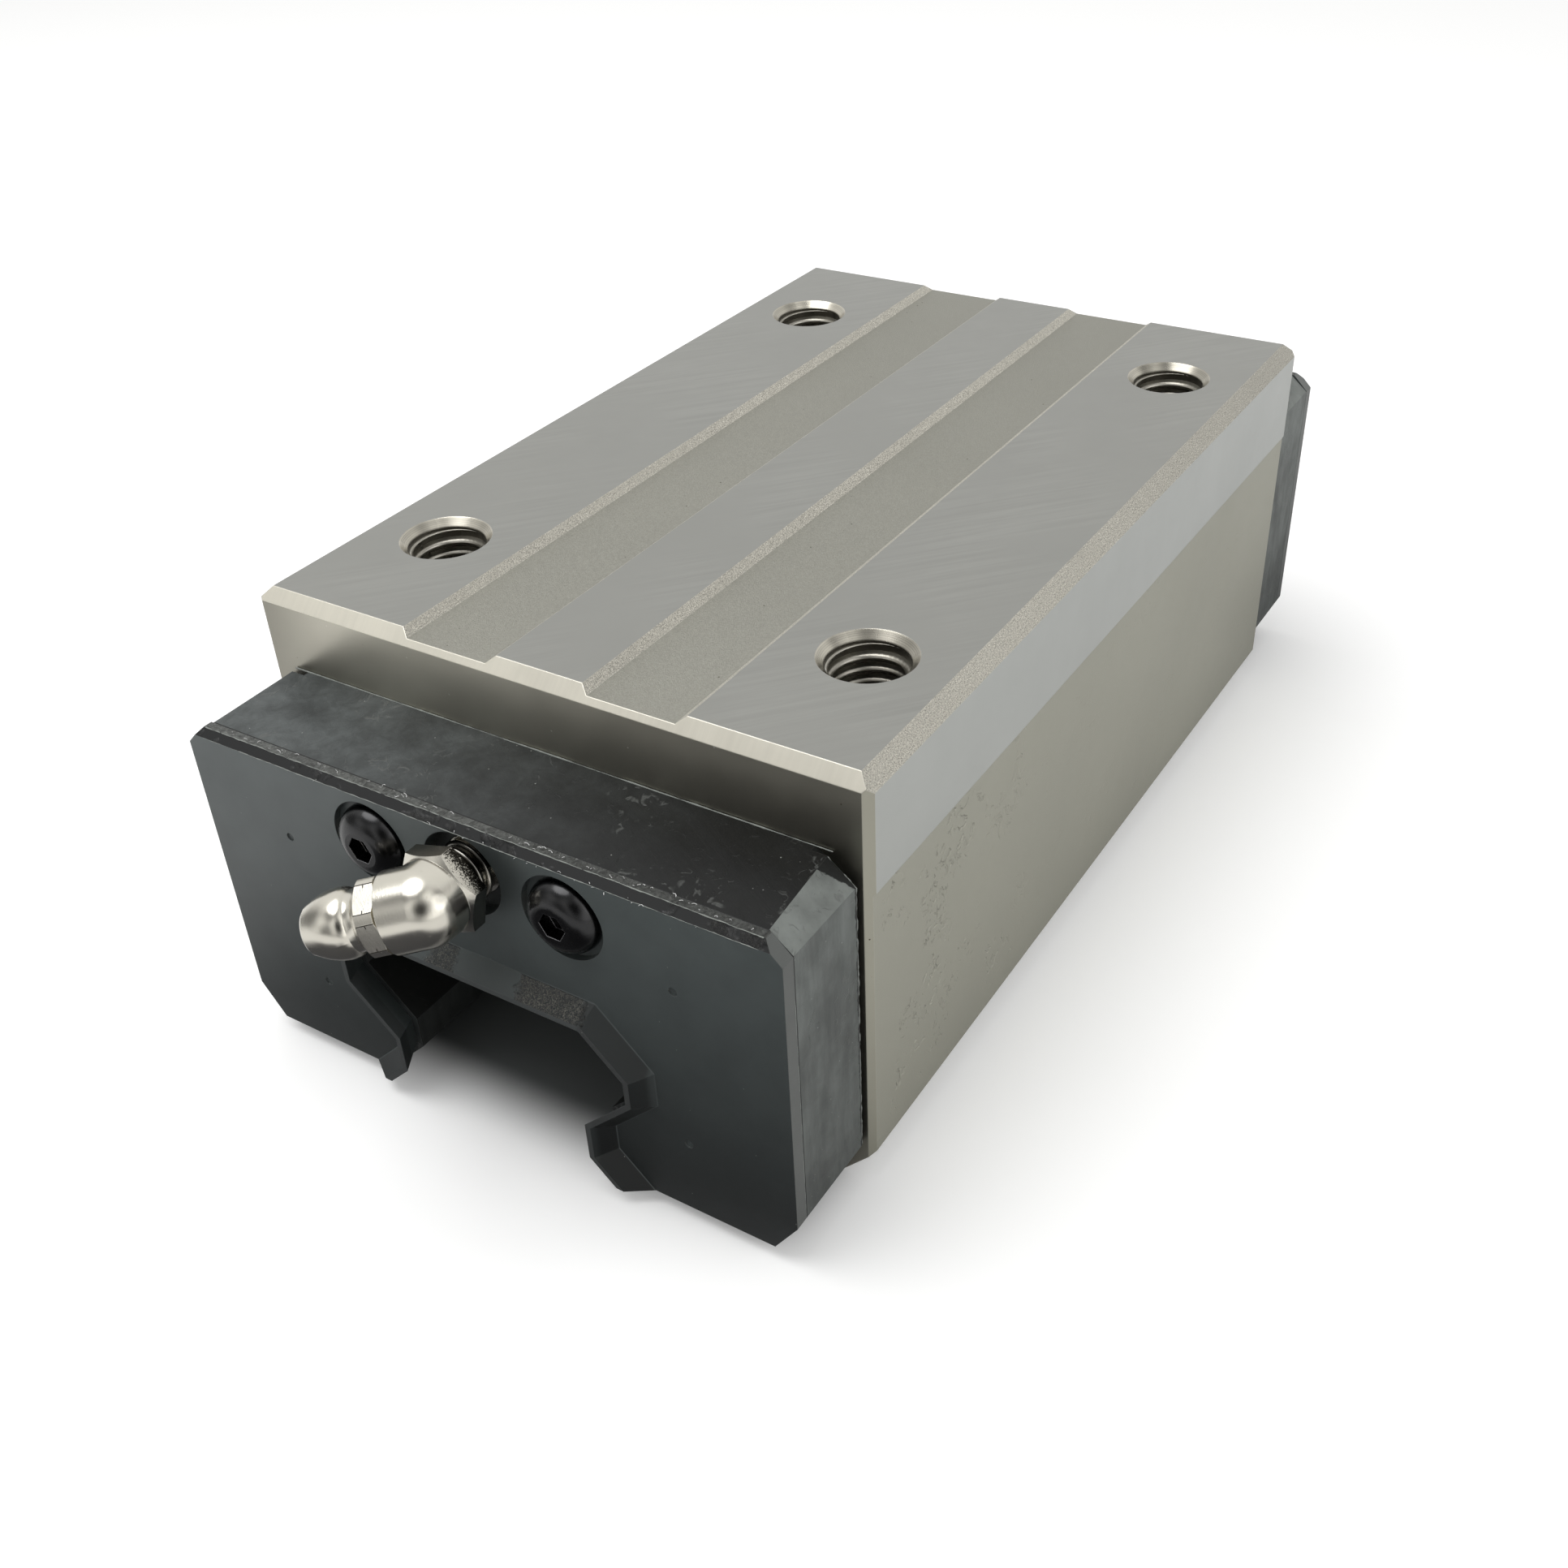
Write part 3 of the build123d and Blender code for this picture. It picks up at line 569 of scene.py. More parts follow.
def plateFinish(s):
    finish, tree, shader = newFinish("platePlastic")
    point = objectPoint(tree)
    x, y, z = parts(tree, point)
    nx, nz = parts(tree, trueNormal(tree))[::2]
    ax, ay = size(tree, x), size(tree, y)
    sideward = size(tree, nx)
    sideMask = facing(tree, sideward)
    cornerMask = both(tree, window(tree, sideward, 0.5, 0.85, 0.06), between(tree, nz, 0.4, 0.6))
    ledgeMask = facing(tree, nz)
    cloud = grain(tree, point, 0.16, 5.0, 0.6)
    # painted light: the sides and corners lighter than the ledge
    colour = tint(tree, sideMask, s["ledge"], s["side"])
    colour = tint(tree, cornerMask, colour, s["corner"])
    colour = shade(tree, colour, contrast(tree, cloud, 0.72, 1.30))
    mottle = grain(tree, point, 0.45, 5.0, 0.7, twist=0.8)
    colour = shadeWhere(tree, colour, ledgeMask, contrast(tree, mottle, 0.78, 1.24))
    # painted light and shade on the ledge, lighter at the left
    across = spread(tree, between(tree, x, -34.0, 26.0), *s["across"])
    colour = shadeWhere(tree, colour, ledgeMask, across)

    # wiped oil, pale scuffs and scrapes
    wipe = grain(tree, turned(tree, point, (0, 0, 0.5), (0.05, 0.35, 0.18)), 1.0, 5.0, 0.65, twist=0.6)
    scuff = between(tree, grain(tree, point, 0.55, 6.0, 0.75, twist=1.2), 0.60, 0.72)
    colour = tint(tree, both(tree, scuff, spread(tree, cloud, 0.0, 0.45)), colour, s["smear"])
    scraped = scratches(tree, point, 0.5, 0.13, s["scrapeShare"], 5.0)
    colour = tint(tree, both(tree, scraped, s["scraped"]), colour, s["smear"])
    shader.inputs["Specular IOR Level"].default_value = s["shine"]

    # painted shade in the rail opening
    inside = both(tree, below(tree, ax, 19.5, 20.5), below(tree, z, -25.0, -24.0),
                  below(tree, ay, 63.9, 64.0))
    colour = shade(tree, colour, spread(tree, inside, 1.0, s["inside"]))
    dust = dents(tree, point, 1.15, 0.10, 0.07)
    colour = tint(tree, dust, colour, s["dust"])

    # upright smears on the sides, and painted shade on the narrow rear rim, with a ragged edge
    streaks = grain(tree, point, 1.0, 4.0, 0.6, (1.0, 0.9, 0.12))
    colour = shadeWhere(tree, colour, sideMask, contrast(tree, streaks, 0.86, 1.14))
    # painted light and shade on the sides, darker at the foot
    upward = spread(tree, between(tree, z, -42.0, -12.0), *s["upward"])
    colour = shadeWhere(tree, colour, sideMask, upward)
    ragged = calc(tree, "ADD", ay, spread(tree, grain(tree, point, 0.9, 4.0, 0.7), -0.45, 0.45))
    inward = calc(tree, "SUBTRACT", 34.0, ax)
    cutBack = both(tree, cornerMask, both(tree, inward, 0.66))
    rear = calc(tree, "SUBTRACT", ragged, cutBack)
    rimShadeMask = both(tree, below(tree, rear, 54.15, 54.3), either(tree, sideMask, cornerMask))
    colour = tint(tree, rimShadeMask, colour, s["rearRimShade"])
    joint = both(tree, between(tree, ay, 63.95, 64.0), either(tree, sideMask, cornerMask, ledgeMask))
    colour = tint(tree, joint, colour, s["joint"])
    bevel = softEdge(tree, s["edge"])
    worn = edgeWear(tree, bevel, 0.004, 0.10)
    colour = tint(tree, both(tree, worn, 0.35), colour, s["smear"])

    rough = calc(tree, "ADD", blend(tree, either(tree, sideMask, cornerMask), s["rough"], 0.50),
                 spread(tree, wipe, -0.22, 0.22))
    fine = grain(tree, point, 5.0, 3.0, 0.6)
    plug(tree, shader, colour, rough, bevel, (fine, 0.010, 0.5), (wipe, 0.10, 0.5),
         (either(tree, scuff, scraped), 0.04, 0.8))
    return finish


sealSettings = {
    "face": srgb(68, 74, 74),
    "strip": srgb(95, 98, 96),
    "bevel": srgb(26, 27, 28),
    "fibre": srgb(136, 136, 132),
    "side": srgb(86, 89, 87),
    "bevelFibre": srgb(74, 74, 72),
    "lipFibre": srgb(142, 139, 131),
    "rim": srgb(84, 86, 86),
    "scuff": srgb(84, 88, 88),
    "dust": srgb(128, 130, 126),
    "wornEdge": srgb(92, 94, 92),
    "nippleShadeSpot": (3.4, -12.4),  # centre of the painted shade beside the nipple, in millimetres
    "fall": (0.31, 1.62),  # painted light and shade: how light the face is at its foot and at its top
    "strands": 0.70,
    "lipStrands": 0.80,
    "tearDepth": 0.30,
    "rough": 0.40,
    "tornRough": 0.75,
    "edge": 0.10,
}


def sealFinish(s):
    finish, tree, shader = newFinish("sealRubber")
    point = objectPoint(tree)
    x, y, z = parts(tree, point)
    nx, ny, nz = parts(tree, trueNormal(tree))
    sideward, endward = size(tree, nx), size(tree, ny)
    ay = size(tree, y)
    faceMask = both(tree, between(tree, endward, 0.95, 0.985), between(tree, ay, 65.6, 65.65))
    stripMask = both(tree, facing(tree, nz), between(tree, z, -9.0, -8.8))
    bevelMask = both(tree, between(tree, z, -9.7, -9.6), window(tree, endward, 0.5, 0.85, 0.08))
    cornerMask = both(tree, window(tree, sideward, 0.5, 0.85, 0.06), between(tree, nz, 0.4, 0.6),
                      between(tree, z, -12.0, -11.5))
    sideMask = between(tree, sideward, 0.95, 0.98)
    lipMask = between(tree, ay, 65.75, 65.80)

    # painted shade: the face turns darker toward its lower right
    slope = calc(tree, "ADD", both(tree, x, -0.12), calc(tree, "ADD", z, 45.0))
    fall = spread(tree, calc(tree, "DIVIDE", slope, 39.0, clamp=True), *s["fall"])
    # painted shade round the nipple's opening, up and to the right
    shadeSpotX, shadeSpotZ = s["nippleShadeSpot"]
    nippleShadeReach = reachFrom(tree, calc(tree, "SUBTRACT", x, shadeSpotX), calc(tree, "SUBTRACT", z, shadeSpotZ))
    fall = both(tree, fall, spread(tree, between(tree, nippleShadeReach, 2.0, 6.0), 0.42, 1.0))
    cloud = grain(tree, point, 0.12, 4.0, 0.6)
    fibreNoise = grain(tree, turned(tree, point, (0, 0, 0.6), (1.2, 1.0, 1.0)), 3.2, 5.0, 0.7, twist=2.5)
    fibres = between(tree, fibreNoise, 0.46, 0.62)
    colour = tint(tree, stripMask, s["face"], s["strip"])
    colour = tint(tree, bevelMask, colour, s["bevel"])
    sealSide = both(tree, sideMask, between(tree, ay, 64.0, 64.1))
    colour = tint(tree, either(tree, cornerMask, sealSide), colour, s["side"])
    colour = shade(tree, colour, contrast(tree, cloud, 0.92, 1.08))
    colour = shadeWhere(tree, colour, either(tree, faceMask, lipMask), fall)

    # torn, fibrous skin: along the top strip, in patches on the bevel and on two stretches of the lip
    torn = both(tree, stripMask, fibres)
    colour = tint(tree, both(tree, torn, s["strands"]), colour, s["fibre"])
    rope = grain(tree, turned(tree, point, (0, 0, 0.5), (1.0, 0.8, 1.0)), 1.7, 3.0, 0.6, twist=1.6)
    # painted shade: the top strip darker toward the right
    stripAcross = spread(tree, between(tree, x, -10.0, 30.0), 1.1, 0.66)
    ropeLevel = both(tree, contrast(tree, rope, 0.52, 1.42), stripAcross)
    colour = shadeWhere(tree, colour, stripMask, ropeLevel)
    patches = between(tree, grain(tree, point, 0.22, 3.0, 0.6), 0.50, 0.60)
    bevelTorn = both(tree, bevelMask, patches, fibres)
    colour = tint(tree, bevelTorn, colour, s["bevelFibre"])
    wide = calc(tree, "ADD", x, spread(tree, grain(tree, point, 0.8, 3.0, 0.6), -1.6, 1.6))
    lipTop = both(tree, lipMask, between(tree, nz, 0.2, 0.4))
    lipStretch = either(tree, window(tree, wide, 5.6, 12.6, 0.5),
                        both(tree, window(tree, wide, -5.5, -2.0, 0.6), 0.8))
    upper = between(tree, z, -30.0, -28.0)
    tufts = both(tree, lipTop, upper, lipStretch)
    lipTorn = both(tree, tufts, fibres)
    colour = shade(tree, colour, spread(tree, tufts, 1.0, 0.55))
    colour = tint(tree, both(tree, lipTorn, s["lipStrands"]), colour, s["lipFibre"])
    # painted shade on the lip's right slope
    rightSlope = both(tree, lipMask, window(tree, x, 12.6, 19.0, 0.3),
                      below(tree, sideward, 0.93, 0.97))
    colour = shade(tree, colour, spread(tree, rightSlope, 1.0, 0.35))
    rimWhite = both(tree, lipMask, between(tree, endward, 0.93, 0.97))
    colour = tint(tree, both(tree, rimWhite, 0.5), colour, s["rim"])

    scuff = between(tree, grain(tree, point, 0.5, 6.0, 0.75, twist=1.0), 0.64, 0.74)
    colour = tint(tree, both(tree, scuff, faceMask, spread(tree, cloud, 0.0, 0.30)), colour, s["scuff"])
    dust = both(tree, dents(tree, point, 1.3, 0.09, 0.05), either(tree, faceMask, lipMask))
    colour = tint(tree, dust, colour, s["dust"])
    bevel = softEdge(tree, s["edge"])
    worn = edgeWear(tree, bevel, 0.004, 0.10)
    colour = tint(tree, both(tree, worn, 0.30), colour, s["wornEdge"])

    roughPlaces = either(tree, torn, bevelTorn, lipTorn)
    rough = calc(tree, "ADD", blend(tree, roughPlaces, s["rough"], s["tornRough"]),
                 spread(tree, grain(tree, point, 0.3, 4.0, 0.6), -0.06, 0.06))
    fine = grain(tree, point, 6.0, 3.0, 0.6)
    rugged = either(tree, stripMask, both(tree, bevelMask, patches), tufts)
    tears = both(tree, calc(tree, "ADD", fibreNoise, rope), rugged)
    plug(tree, shader, colour, rough, bevel, (fine, 0.006, 0.5), (tears, s["tearDepth"], 1.0))
    return finish


dress(plateFinish(plateSettings), "front_end_plate", "rear_end_plate")
dress(sealFinish(sealSettings), "front_end_seal", "rear_end_seal")
print("end plates and seals dressed")


# inner plastic

oldOil = srgb(70, 62, 44)


def innerPlastic(name, colour, rough, oily):
    finish, tree, shader = newFinish(name)
    point = objectPoint(tree)
    cloud = grain(tree, point, 0.25, 4.0, 0.6)
    tone = shade(tree, colour, spread(tree, cloud, 0.7, 1.3))
    film = between(tree, grain(tree, point, 0.4, 5.0, 0.65, twist=0.8), 0.48, 0.60)
    tone = tint(tree, both(tree, film, oily), tone, oldOil)
    flow = grain(tree, point, 1.0, 3.0, 0.6, (1.0, 0.08, 1.0))
    fine = grain(tree, point, 7.0, 3.0, 0.6)
    plug(tree, shader, tone, blend(tree, film, rough, rough * 0.5), softEdge(tree, 0.08),
         (flow, 0.03, 0.5), (fine, 0.01, 0.5))
    return finish


dress(innerPlastic("guidePlastic", srgb(40, 40, 40), 0.50, 0.20), "front_return_guides", "rear_return_guides")
dress(innerPlastic("retainerPlastic", srgb(32, 32, 34), 0.45, 0.12), "top_retainer", "side_retainer_left",
      "side_retainer_right", "lower_retainer_left", "lower_retainer_right")


# screws, nipple, balls and spring

def metalFinish(name, colour, rough, s, extraSoilAndShade=None):
    finish, tree, shader = newFinish(name)
    point = objectPoint(tree)
    cloud = grain(tree, point, s["cloudScale"], 4.0, 0.6)
    tone = shade(tree, colour, spread(tree, cloud, 1.0 - s["cloud"], 1.0 + s["cloud"]))
    stain = between(tree, grain(tree, point, 1.3, 6.0, 0.7, twist=0.6), 0.60, 0.72)
    tone = tint(tree, both(tree, stain, s["stain"]), tone, s["stainColour"])
    if extraSoilAndShade:
        tone = extraSoilAndShade(tree, point, tone)
    bevel = softEdge(tree, s["edge"])
    worn = edgeWear(tree, bevel, 0.004, 0.12)
    tone = tint(tree, both(tree, worn, s["worn"]), tone, s["wornColour"])
    shader.inputs["Metallic"].default_value = 1.0
    level = spread(tree, cloud, rough - 0.03, rough + 0.05)
    level = calc(tree, "ADD", level, both(tree, stain, 0.08))
    brushed = grain(tree, turned(tree, point, (0.3, 0.5, 0.8), (1.0, 7.0, 1.0)), 1.6, 3.0, 0.6)
    fine = grain(tree, point, 9.0, 3.0, 0.6)
    plug(tree, shader, tone, level, bevel, (brushed, 0.012, s["brushed"]), (fine, 0.006, s["fine"]))
    return finish


nippleSoilShadeSettings = {
    "oilyDust": srgb(34, 32, 28),
    "topFlatReflection": srgb(78, 72, 62),
    "lowerFlatShade": srgb(104, 104, 100),
    "hexagonEnds": (-69.4, -69.2),
    "dustReach": (0.66, 0.42),
}


def nippleSoilAndShade(tree, point, tone):
    # oily dust on the large hexagon's upper right flat, a painted dark reflection on its top flat, and
    # painted grey shade on the flat below them
    s = nippleSoilShadeSettings
    y = parts(tree, point)[1]
    nx, nz = parts(tree, trueNormal(tree))[::2]
    hexagon = between(tree, y, *s["hexagonEnds"])
    foot = both(tree, hexagon, between(tree, nx, 0.3, 0.5))
    upperFlat = both(tree, foot, between(tree, nz, 0.2, 0.4))
    lowerFlat = both(tree, foot, below(tree, nz, 0.0, 0.2))
    near = spread(tree, between(tree, y, -69.0, -67.4), *s["dustReach"])
    dust = between(tree, calc(tree, "SUBTRACT", grain(tree, point, 7.0, 4.0, 0.7), near), -0.10, 0.02)
    tone = tint(tree, both(tree, upperFlat, dust), tone, s["oilyDust"])
    # painted reflection of the dark ledge on the top flat
    topFlat = both(tree, hexagon, between(tree, nz, 0.75, 0.9))
    tone = tint(tree, both(tree, topFlat, 0.75), tone, s["topFlatReflection"])
    return tint(tree, both(tree, lowerFlat, 0.85), tone, s["lowerFlatShade"])


def threadShade(tree, point, tone):
    # painted shade: the thread's upper half is darkened
    z = parts(tree, point)[2]
    return shade(tree, tone, spread(tree, between(tree, z, -14.5, -12.2), 1.0, 0.10))


screwSettings = {
    "cloud": 0.25, "cloudScale": 0.6, "stain": 0.20, "stainColour": srgb(78, 74, 68), "edge": 0.10,
    "worn": 0.65, "wornColour": srgb(150, 150, 152), "brushed": 0.15, "fine": 0.5,
}
platingSettings = {
    "cloud": 0.06, "cloudScale": 0.5, "stain": 0.30, "stainColour": srgb(150, 140, 120), "edge": 0.07,
    "worn": 0.25, "wornColour": srgb(250, 248, 240), "brushed": 0.45, "fine": 0.25,
}
ballSettings = {
    "cloud": 0.04, "cloudScale": 0.4, "stain": 0.05, "stainColour": srgb(170, 166, 150), "edge": 0.02,
    "worn": 0.0, "wornColour": srgb(230, 230, 230), "brushed": 0.05, "fine": 0.05,
}
wireSettings = {
    "cloud": 0.15, "cloudScale": 1.5, "stain": 0.15, "stainColour": srgb(110, 104, 90), "edge": 0.02,
    "worn": 0.0, "wornColour": srgb(200, 200, 200), "brushed": 0.4, "fine": 0.4,
}
oilFilm = {"Coat Weight": 0.35, "Coat Roughness": 0.14}
blackOxide = metalFinish("blackOxide", srgb(50, 50, 51), 0.25, screwSettings)
for label, amount in oilFilm.items():
    blackOxide.node_tree.nodes["Principled BSDF"].inputs[label].default_value = amount
nickelPlate = metalFinish("nickelPlate", srgb(218, 214, 203), 0.19, platingSettings, nippleSoilAndShade)
dress(blackOxide, "front_screws", "rear_screws", "rear_port_plug")
dress(nickelPlate, "nipple_elbow", "nipple_head")
ballSteel = metalFinish("ballSteel", srgb(206, 206, 208), 0.10, ballSettings)
dress(ballSteel, "balls_upper_left", "balls_upper_right", "balls_lower_left", "balls_lower_right",
      "nipple_check_ball")
dress(metalFinish("springWire", srgb(180, 180, 180), 0.25, wireSettings), "nipple_spring")
print("plastic, rubber and small metal dressed")


# helpers for geometry nodes

def newGroup(name, inputs):
    tree = bpy.data.node_groups.new(name, "GeometryNodeTree")
    tree.interface.new_socket("Geometry", in_out="INPUT", socket_type="NodeSocketGeometry")
    for label, kind, value in inputs:
        socket = tree.interface.new_socket(label, in_out="INPUT", socket_type="NodeSocket" + kind)
        if value is not None:
            socket.default_value = value
    tree.interface.new_socket("Geometry", in_out="OUTPUT", socket_type="NodeSocketGeometry")
    return tree, tree.nodes.new("NodeGroupInput").outputs


def endGroup(tree, geometry, finish):
    real = addNode(tree, "GeometryNodeRealizeInstances", None, {"Geometry": geometry})
    painted = addNode(tree, "GeometryNodeSetMaterial", None,
                      {"Geometry": real, "Material": finish})
    out = tree.nodes.new("NodeGroupOutput")
    tree.links.new(painted.outputs[0], out.inputs[0])


def grownMesh(name, tree, points, edges, values, finish):
    # runs the tree on a few points or a polyline, and keeps the result as a plain mesh
    seedMesh = bpy.data.meshes.new(name + "Seed")
    seedMesh.from_pydata(points, edges, [])
    piece = newObject(name, seedMesh)
    modifier = piece.modifiers.new(name, "NODES")
    modifier.node_group = tree
    for item in tree.interface.items_tree:
        if item.in_out == "INPUT" and item.name in values:
            modifier[item.identifier] = values[item.name]
        if item.in_out == "INPUT" and item.name == "Finish":
            modifier[item.identifier] = finish
    ready = piece.evaluated_get(bpy.context.evaluated_depsgraph_get())
    mesh = bpy.data.meshes.new_from_object(ready)
    piece.modifiers.remove(modifier)
    piece.data = mesh
    bpy.data.meshes.remove(seedMesh)
    mesh.name = name
    if not mesh.materials:
        mesh.materials.append(finish)
    return piece


def joined(name, pieces):
    joinedMesh = bmesh.new()
    finish = pieces[0].data.materials[0]
    for piece in pieces:
        joinedMesh.from_mesh(piece.data)
        bpy.data.objects.remove(piece)
    mesh = bpy.data.meshes.new(name)
    joinedMesh.to_mesh(mesh)
    joinedMesh.free()
    mesh.materials.append(finish)
    return newObject(name, mesh)


# screw threads: in the four mounting holes and on the nipple's shank

def threadGroup():
    tree, given = newGroup("screwThread", [
        ("Wall Radius", "Float", 0.004), ("Ridge", "Float", 0.0006), ("Pitch", "Float", 0.00125),
        ("Length", "Float", 0.011), ("Inner Width", "Float", 0.0002), ("Outer Width", "Float", 0.0011),
        ("Shift", "Float", 0.0), ("Turn", "Vector", (0, 0, 0)), ("Finish", "Material", None)])
    turns = calc(tree, "DIVIDE", given["Length"], given["Pitch"])
    helix = addNode(tree, "GeometryNodeCurveSpiral", None, {
        "Resolution": 40, "Rotations": turns, "Start Radius": given["Wall Radius"],
        "End Radius": given["Wall Radius"], "Height": given["Length"]})
    upright = addNode(tree, "GeometryNodeSetCurveNormal", {"mode": "Z_UP"}, {"Curve": helix})
    section = addNode(tree, "GeometryNodeCurvePrimitiveQuadrilateral", {"mode": "TRAPEZOID"}, {
        "Height": given["Ridge"], "Bottom Width": given["Inner Width"], "Top Width": given["Outer Width"],
        "Offset": 0.0})
    moved = addNode(tree, "ShaderNodeCombineXYZ", None, {"Y": given["Shift"]})
    placed = addNode(tree, "GeometryNodeTransform", None,
                     {"Geometry": section, "Translation": moved})
    onEnd = addNode(tree, "GeometryNodeTransform", None,
                    {"Geometry": placed, "Rotation": (0, 0, math.radians(90))})
    along = addNode(tree, "GeometryNodeSplineParameter").outputs["Factor"]
    # the ridge runs out at both ends of the thread
    runOut = both(tree, turns, 1.6)
    fromStart = both(tree, along, runOut)
    fromEnd = both(tree, calc(tree, "SUBTRACT", 1.0, along), runOut)
    fade = calc(tree, "MINIMUM", calc(tree, "MINIMUM", fromStart, fromEnd), 1.0)
    fade = either(tree, fade, 0.02)
    ridge = addNode(tree, "GeometryNodeCurveToMesh", None, {
        "Curve": upright, "Profile Curve": onEnd, "Scale": fade, "Fill Caps": True})
    copies = addNode(tree, "GeometryNodeInstanceOnPoints", None, {
        "Points": given["Geometry"], "Instance": ridge, "Rotation": given["Turn"]})
    endGroup(tree, copies, given["Finish"])
    return tree


threadSettings = {
    "holes": {"Wall Radius": 0.00402, "Ridge": 0.00062, "Pitch": 0.00125, "Length": 0.0110,
              "Inner Width": 0.00020, "Outer Width": 0.00112, "Shift": -0.00031},
    "holeSpot": (0.025, 0.036, -0.0120),  # the bottom of one hole, the others mirrored
    "shank": {"Wall Radius": 0.00253, "Ridge": 0.00047, "Pitch": 0.00100, "Length": 0.0030,
              "Inner Width": 0.00092, "Outer Width": 0.00016, "Shift": 0.000235,
              "Turn": (math.radians(90), 0, 0)},
    "shankStart": (0.0, -0.06415, -0.0140),
}


def makeThreads(s, group, boreFinish, shankFinish):
    x, y, z = s["holeSpot"]
    spots = [(x * a, y * b, z) for a in (-1, 1) for b in (-1, 1)]
    holes = grownMesh("mountThreads", group, spots, [], s["holes"], boreFinish)
    shank = grownMesh("nippleThread", group, [s["shankStart"]], [], s["shank"], shankFinish)
    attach(holes, "block")
    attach(shank, "block")


boreSettings = {
    "cloud": 0.20, "cloudScale": 0.8, "stain": 0.45, "stainColour": srgb(90, 86, 74), "edge": 0.05,
    "worn": 0.45, "wornColour": srgb(226, 224, 216), "brushed": 0.6, "fine": 0.6,
}
makeThreads(threadSettings, threadGroup(), metalFinish("cutThread", srgb(158, 155, 146), 0.32, boreSettings),
            metalFinish("platedThread", srgb(205, 200, 188), 0.24, platingSettings, threadShade))
print("threads cut")


# mould flash: thin ragged lines along the plates' rear edges and the seals' bevels

def flashGroup():
    tree, given = newGroup("mouldFlash", [
        ("Thickness", "Float", 0.0001), ("Raggedness", "Float", 0.0001), ("Wave", "Float", 900.0),
        ("Step", "Float", 0.0003), ("Seed", "Float", 0.0), ("Finish", "Material", None)])
    line = addNode(tree, "GeometryNodeMeshToCurve", None, {"Mesh": given["Geometry"]})
    steps = addNode(tree, "GeometryNodeResampleCurve", {"mode": "LENGTH"},
                    {"Curve": line, "Length": given["Step"]})
    place = addNode(tree, "GeometryNodeInputPosition").outputs[0]
    shifted = vectorCalc(tree, "ADD", place, given["Seed"])
    noise = addNode(tree, "ShaderNodeTexNoise", None,
                    {"Vector": shifted, "Scale": given["Wave"], "Detail": 4.0, "Roughness": 0.7})
    centred = vectorCalc(tree, "SUBTRACT", noise.outputs["Color"], (0.5, 0.5, 0.5))
    push = vectorCalc(tree, "SCALE", centred, given["Raggedness"])
    wavy = addNode(tree, "GeometryNodeSetPosition", None, {"Geometry": steps, "Offset": push})
    profile = addNode(tree, "GeometryNodeCurvePrimitiveCircle", None,
                      {"Resolution": 5, "Radius": given["Thickness"]})
    swell = spread(tree, between(tree, noise.outputs["Fac"], 0.35, 0.65), 0.25, 1.3)
    strip = addNode(tree, "GeometryNodeCurveToMesh", None, {
        "Curve": wavy, "Profile Curve": profile, "Scale": swell, "Fill Caps": True})
    endGroup(tree, strip, given["Finish"])
    return tree


flashSettings = {
    # x, y, z of each line in millimetres on the front end; the rear end has the mirrored ones
    "jointTop": {"path": [(-31.4, -53.34, -8.16), (31.4, -53.34, -8.16)], "Thickness": 0.00008,
                 "Raggedness": 0.00006, "Wave": 300.0},
    "rearCorner": {"path": [(31.3, -54.02, -8.25), (33.98, -54.02, -10.6), (33.98, -54.02, -41.6)],
                   "Thickness": 0.00009, "Raggedness": 0.00024, "Wave": 700.0},
    "sealBevel": {"path": [(-31.8, -65.70, -9.47), (31.8, -65.70, -9.47)], "Thickness": 0.00005,
                  "Raggedness": 0.00016, "Wave": 800.0},
    "sealStrip": {"path": [(-31.9, -65.02, -8.67), (31.9, -65.02, -8.67)], "Thickness": 0.00006,
                  "Raggedness": 0.00022, "Wave": 1100.0},
    "sealSide": {"path": [(33.97, -64.16, -11.0), (33.97, -64.16, -41.5)], "Thickness": 0.00005,
                 "Raggedness": 0.00005, "Wave": 400.0},
}


def makeFlash(s, group, finish):
    pieces = []
    for number, (name, line) in enumerate(s.items()):
        values = {key: value for key, value in line.items() if key != "path"}
        for end in (1, -1):
            for side in (1, -1):
                if side < 0 and name not in ("rearCorner", "sealSide"):
                    continue  # the other lines already run from side to side
                path = [(x * side * mm, y * end * mm, z * mm) for x, y, z in line["path"]]
                values["Seed"] = 0.37 * number + 0.11 * end + 0.05 * side
                edges = [(i, i + 1) for i in range(len(path) - 1)]
                pieces.append(grownMesh(f"{name}{end}{side}", group, path, edges, values, finish))
    flash = joined("mouldFlash", pieces)
    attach(flash, "block")
    print("mouldFlash faces:", len(flash.data.polygons))


# burrs: short curls and crumbs of torn rubber scattered along an edge

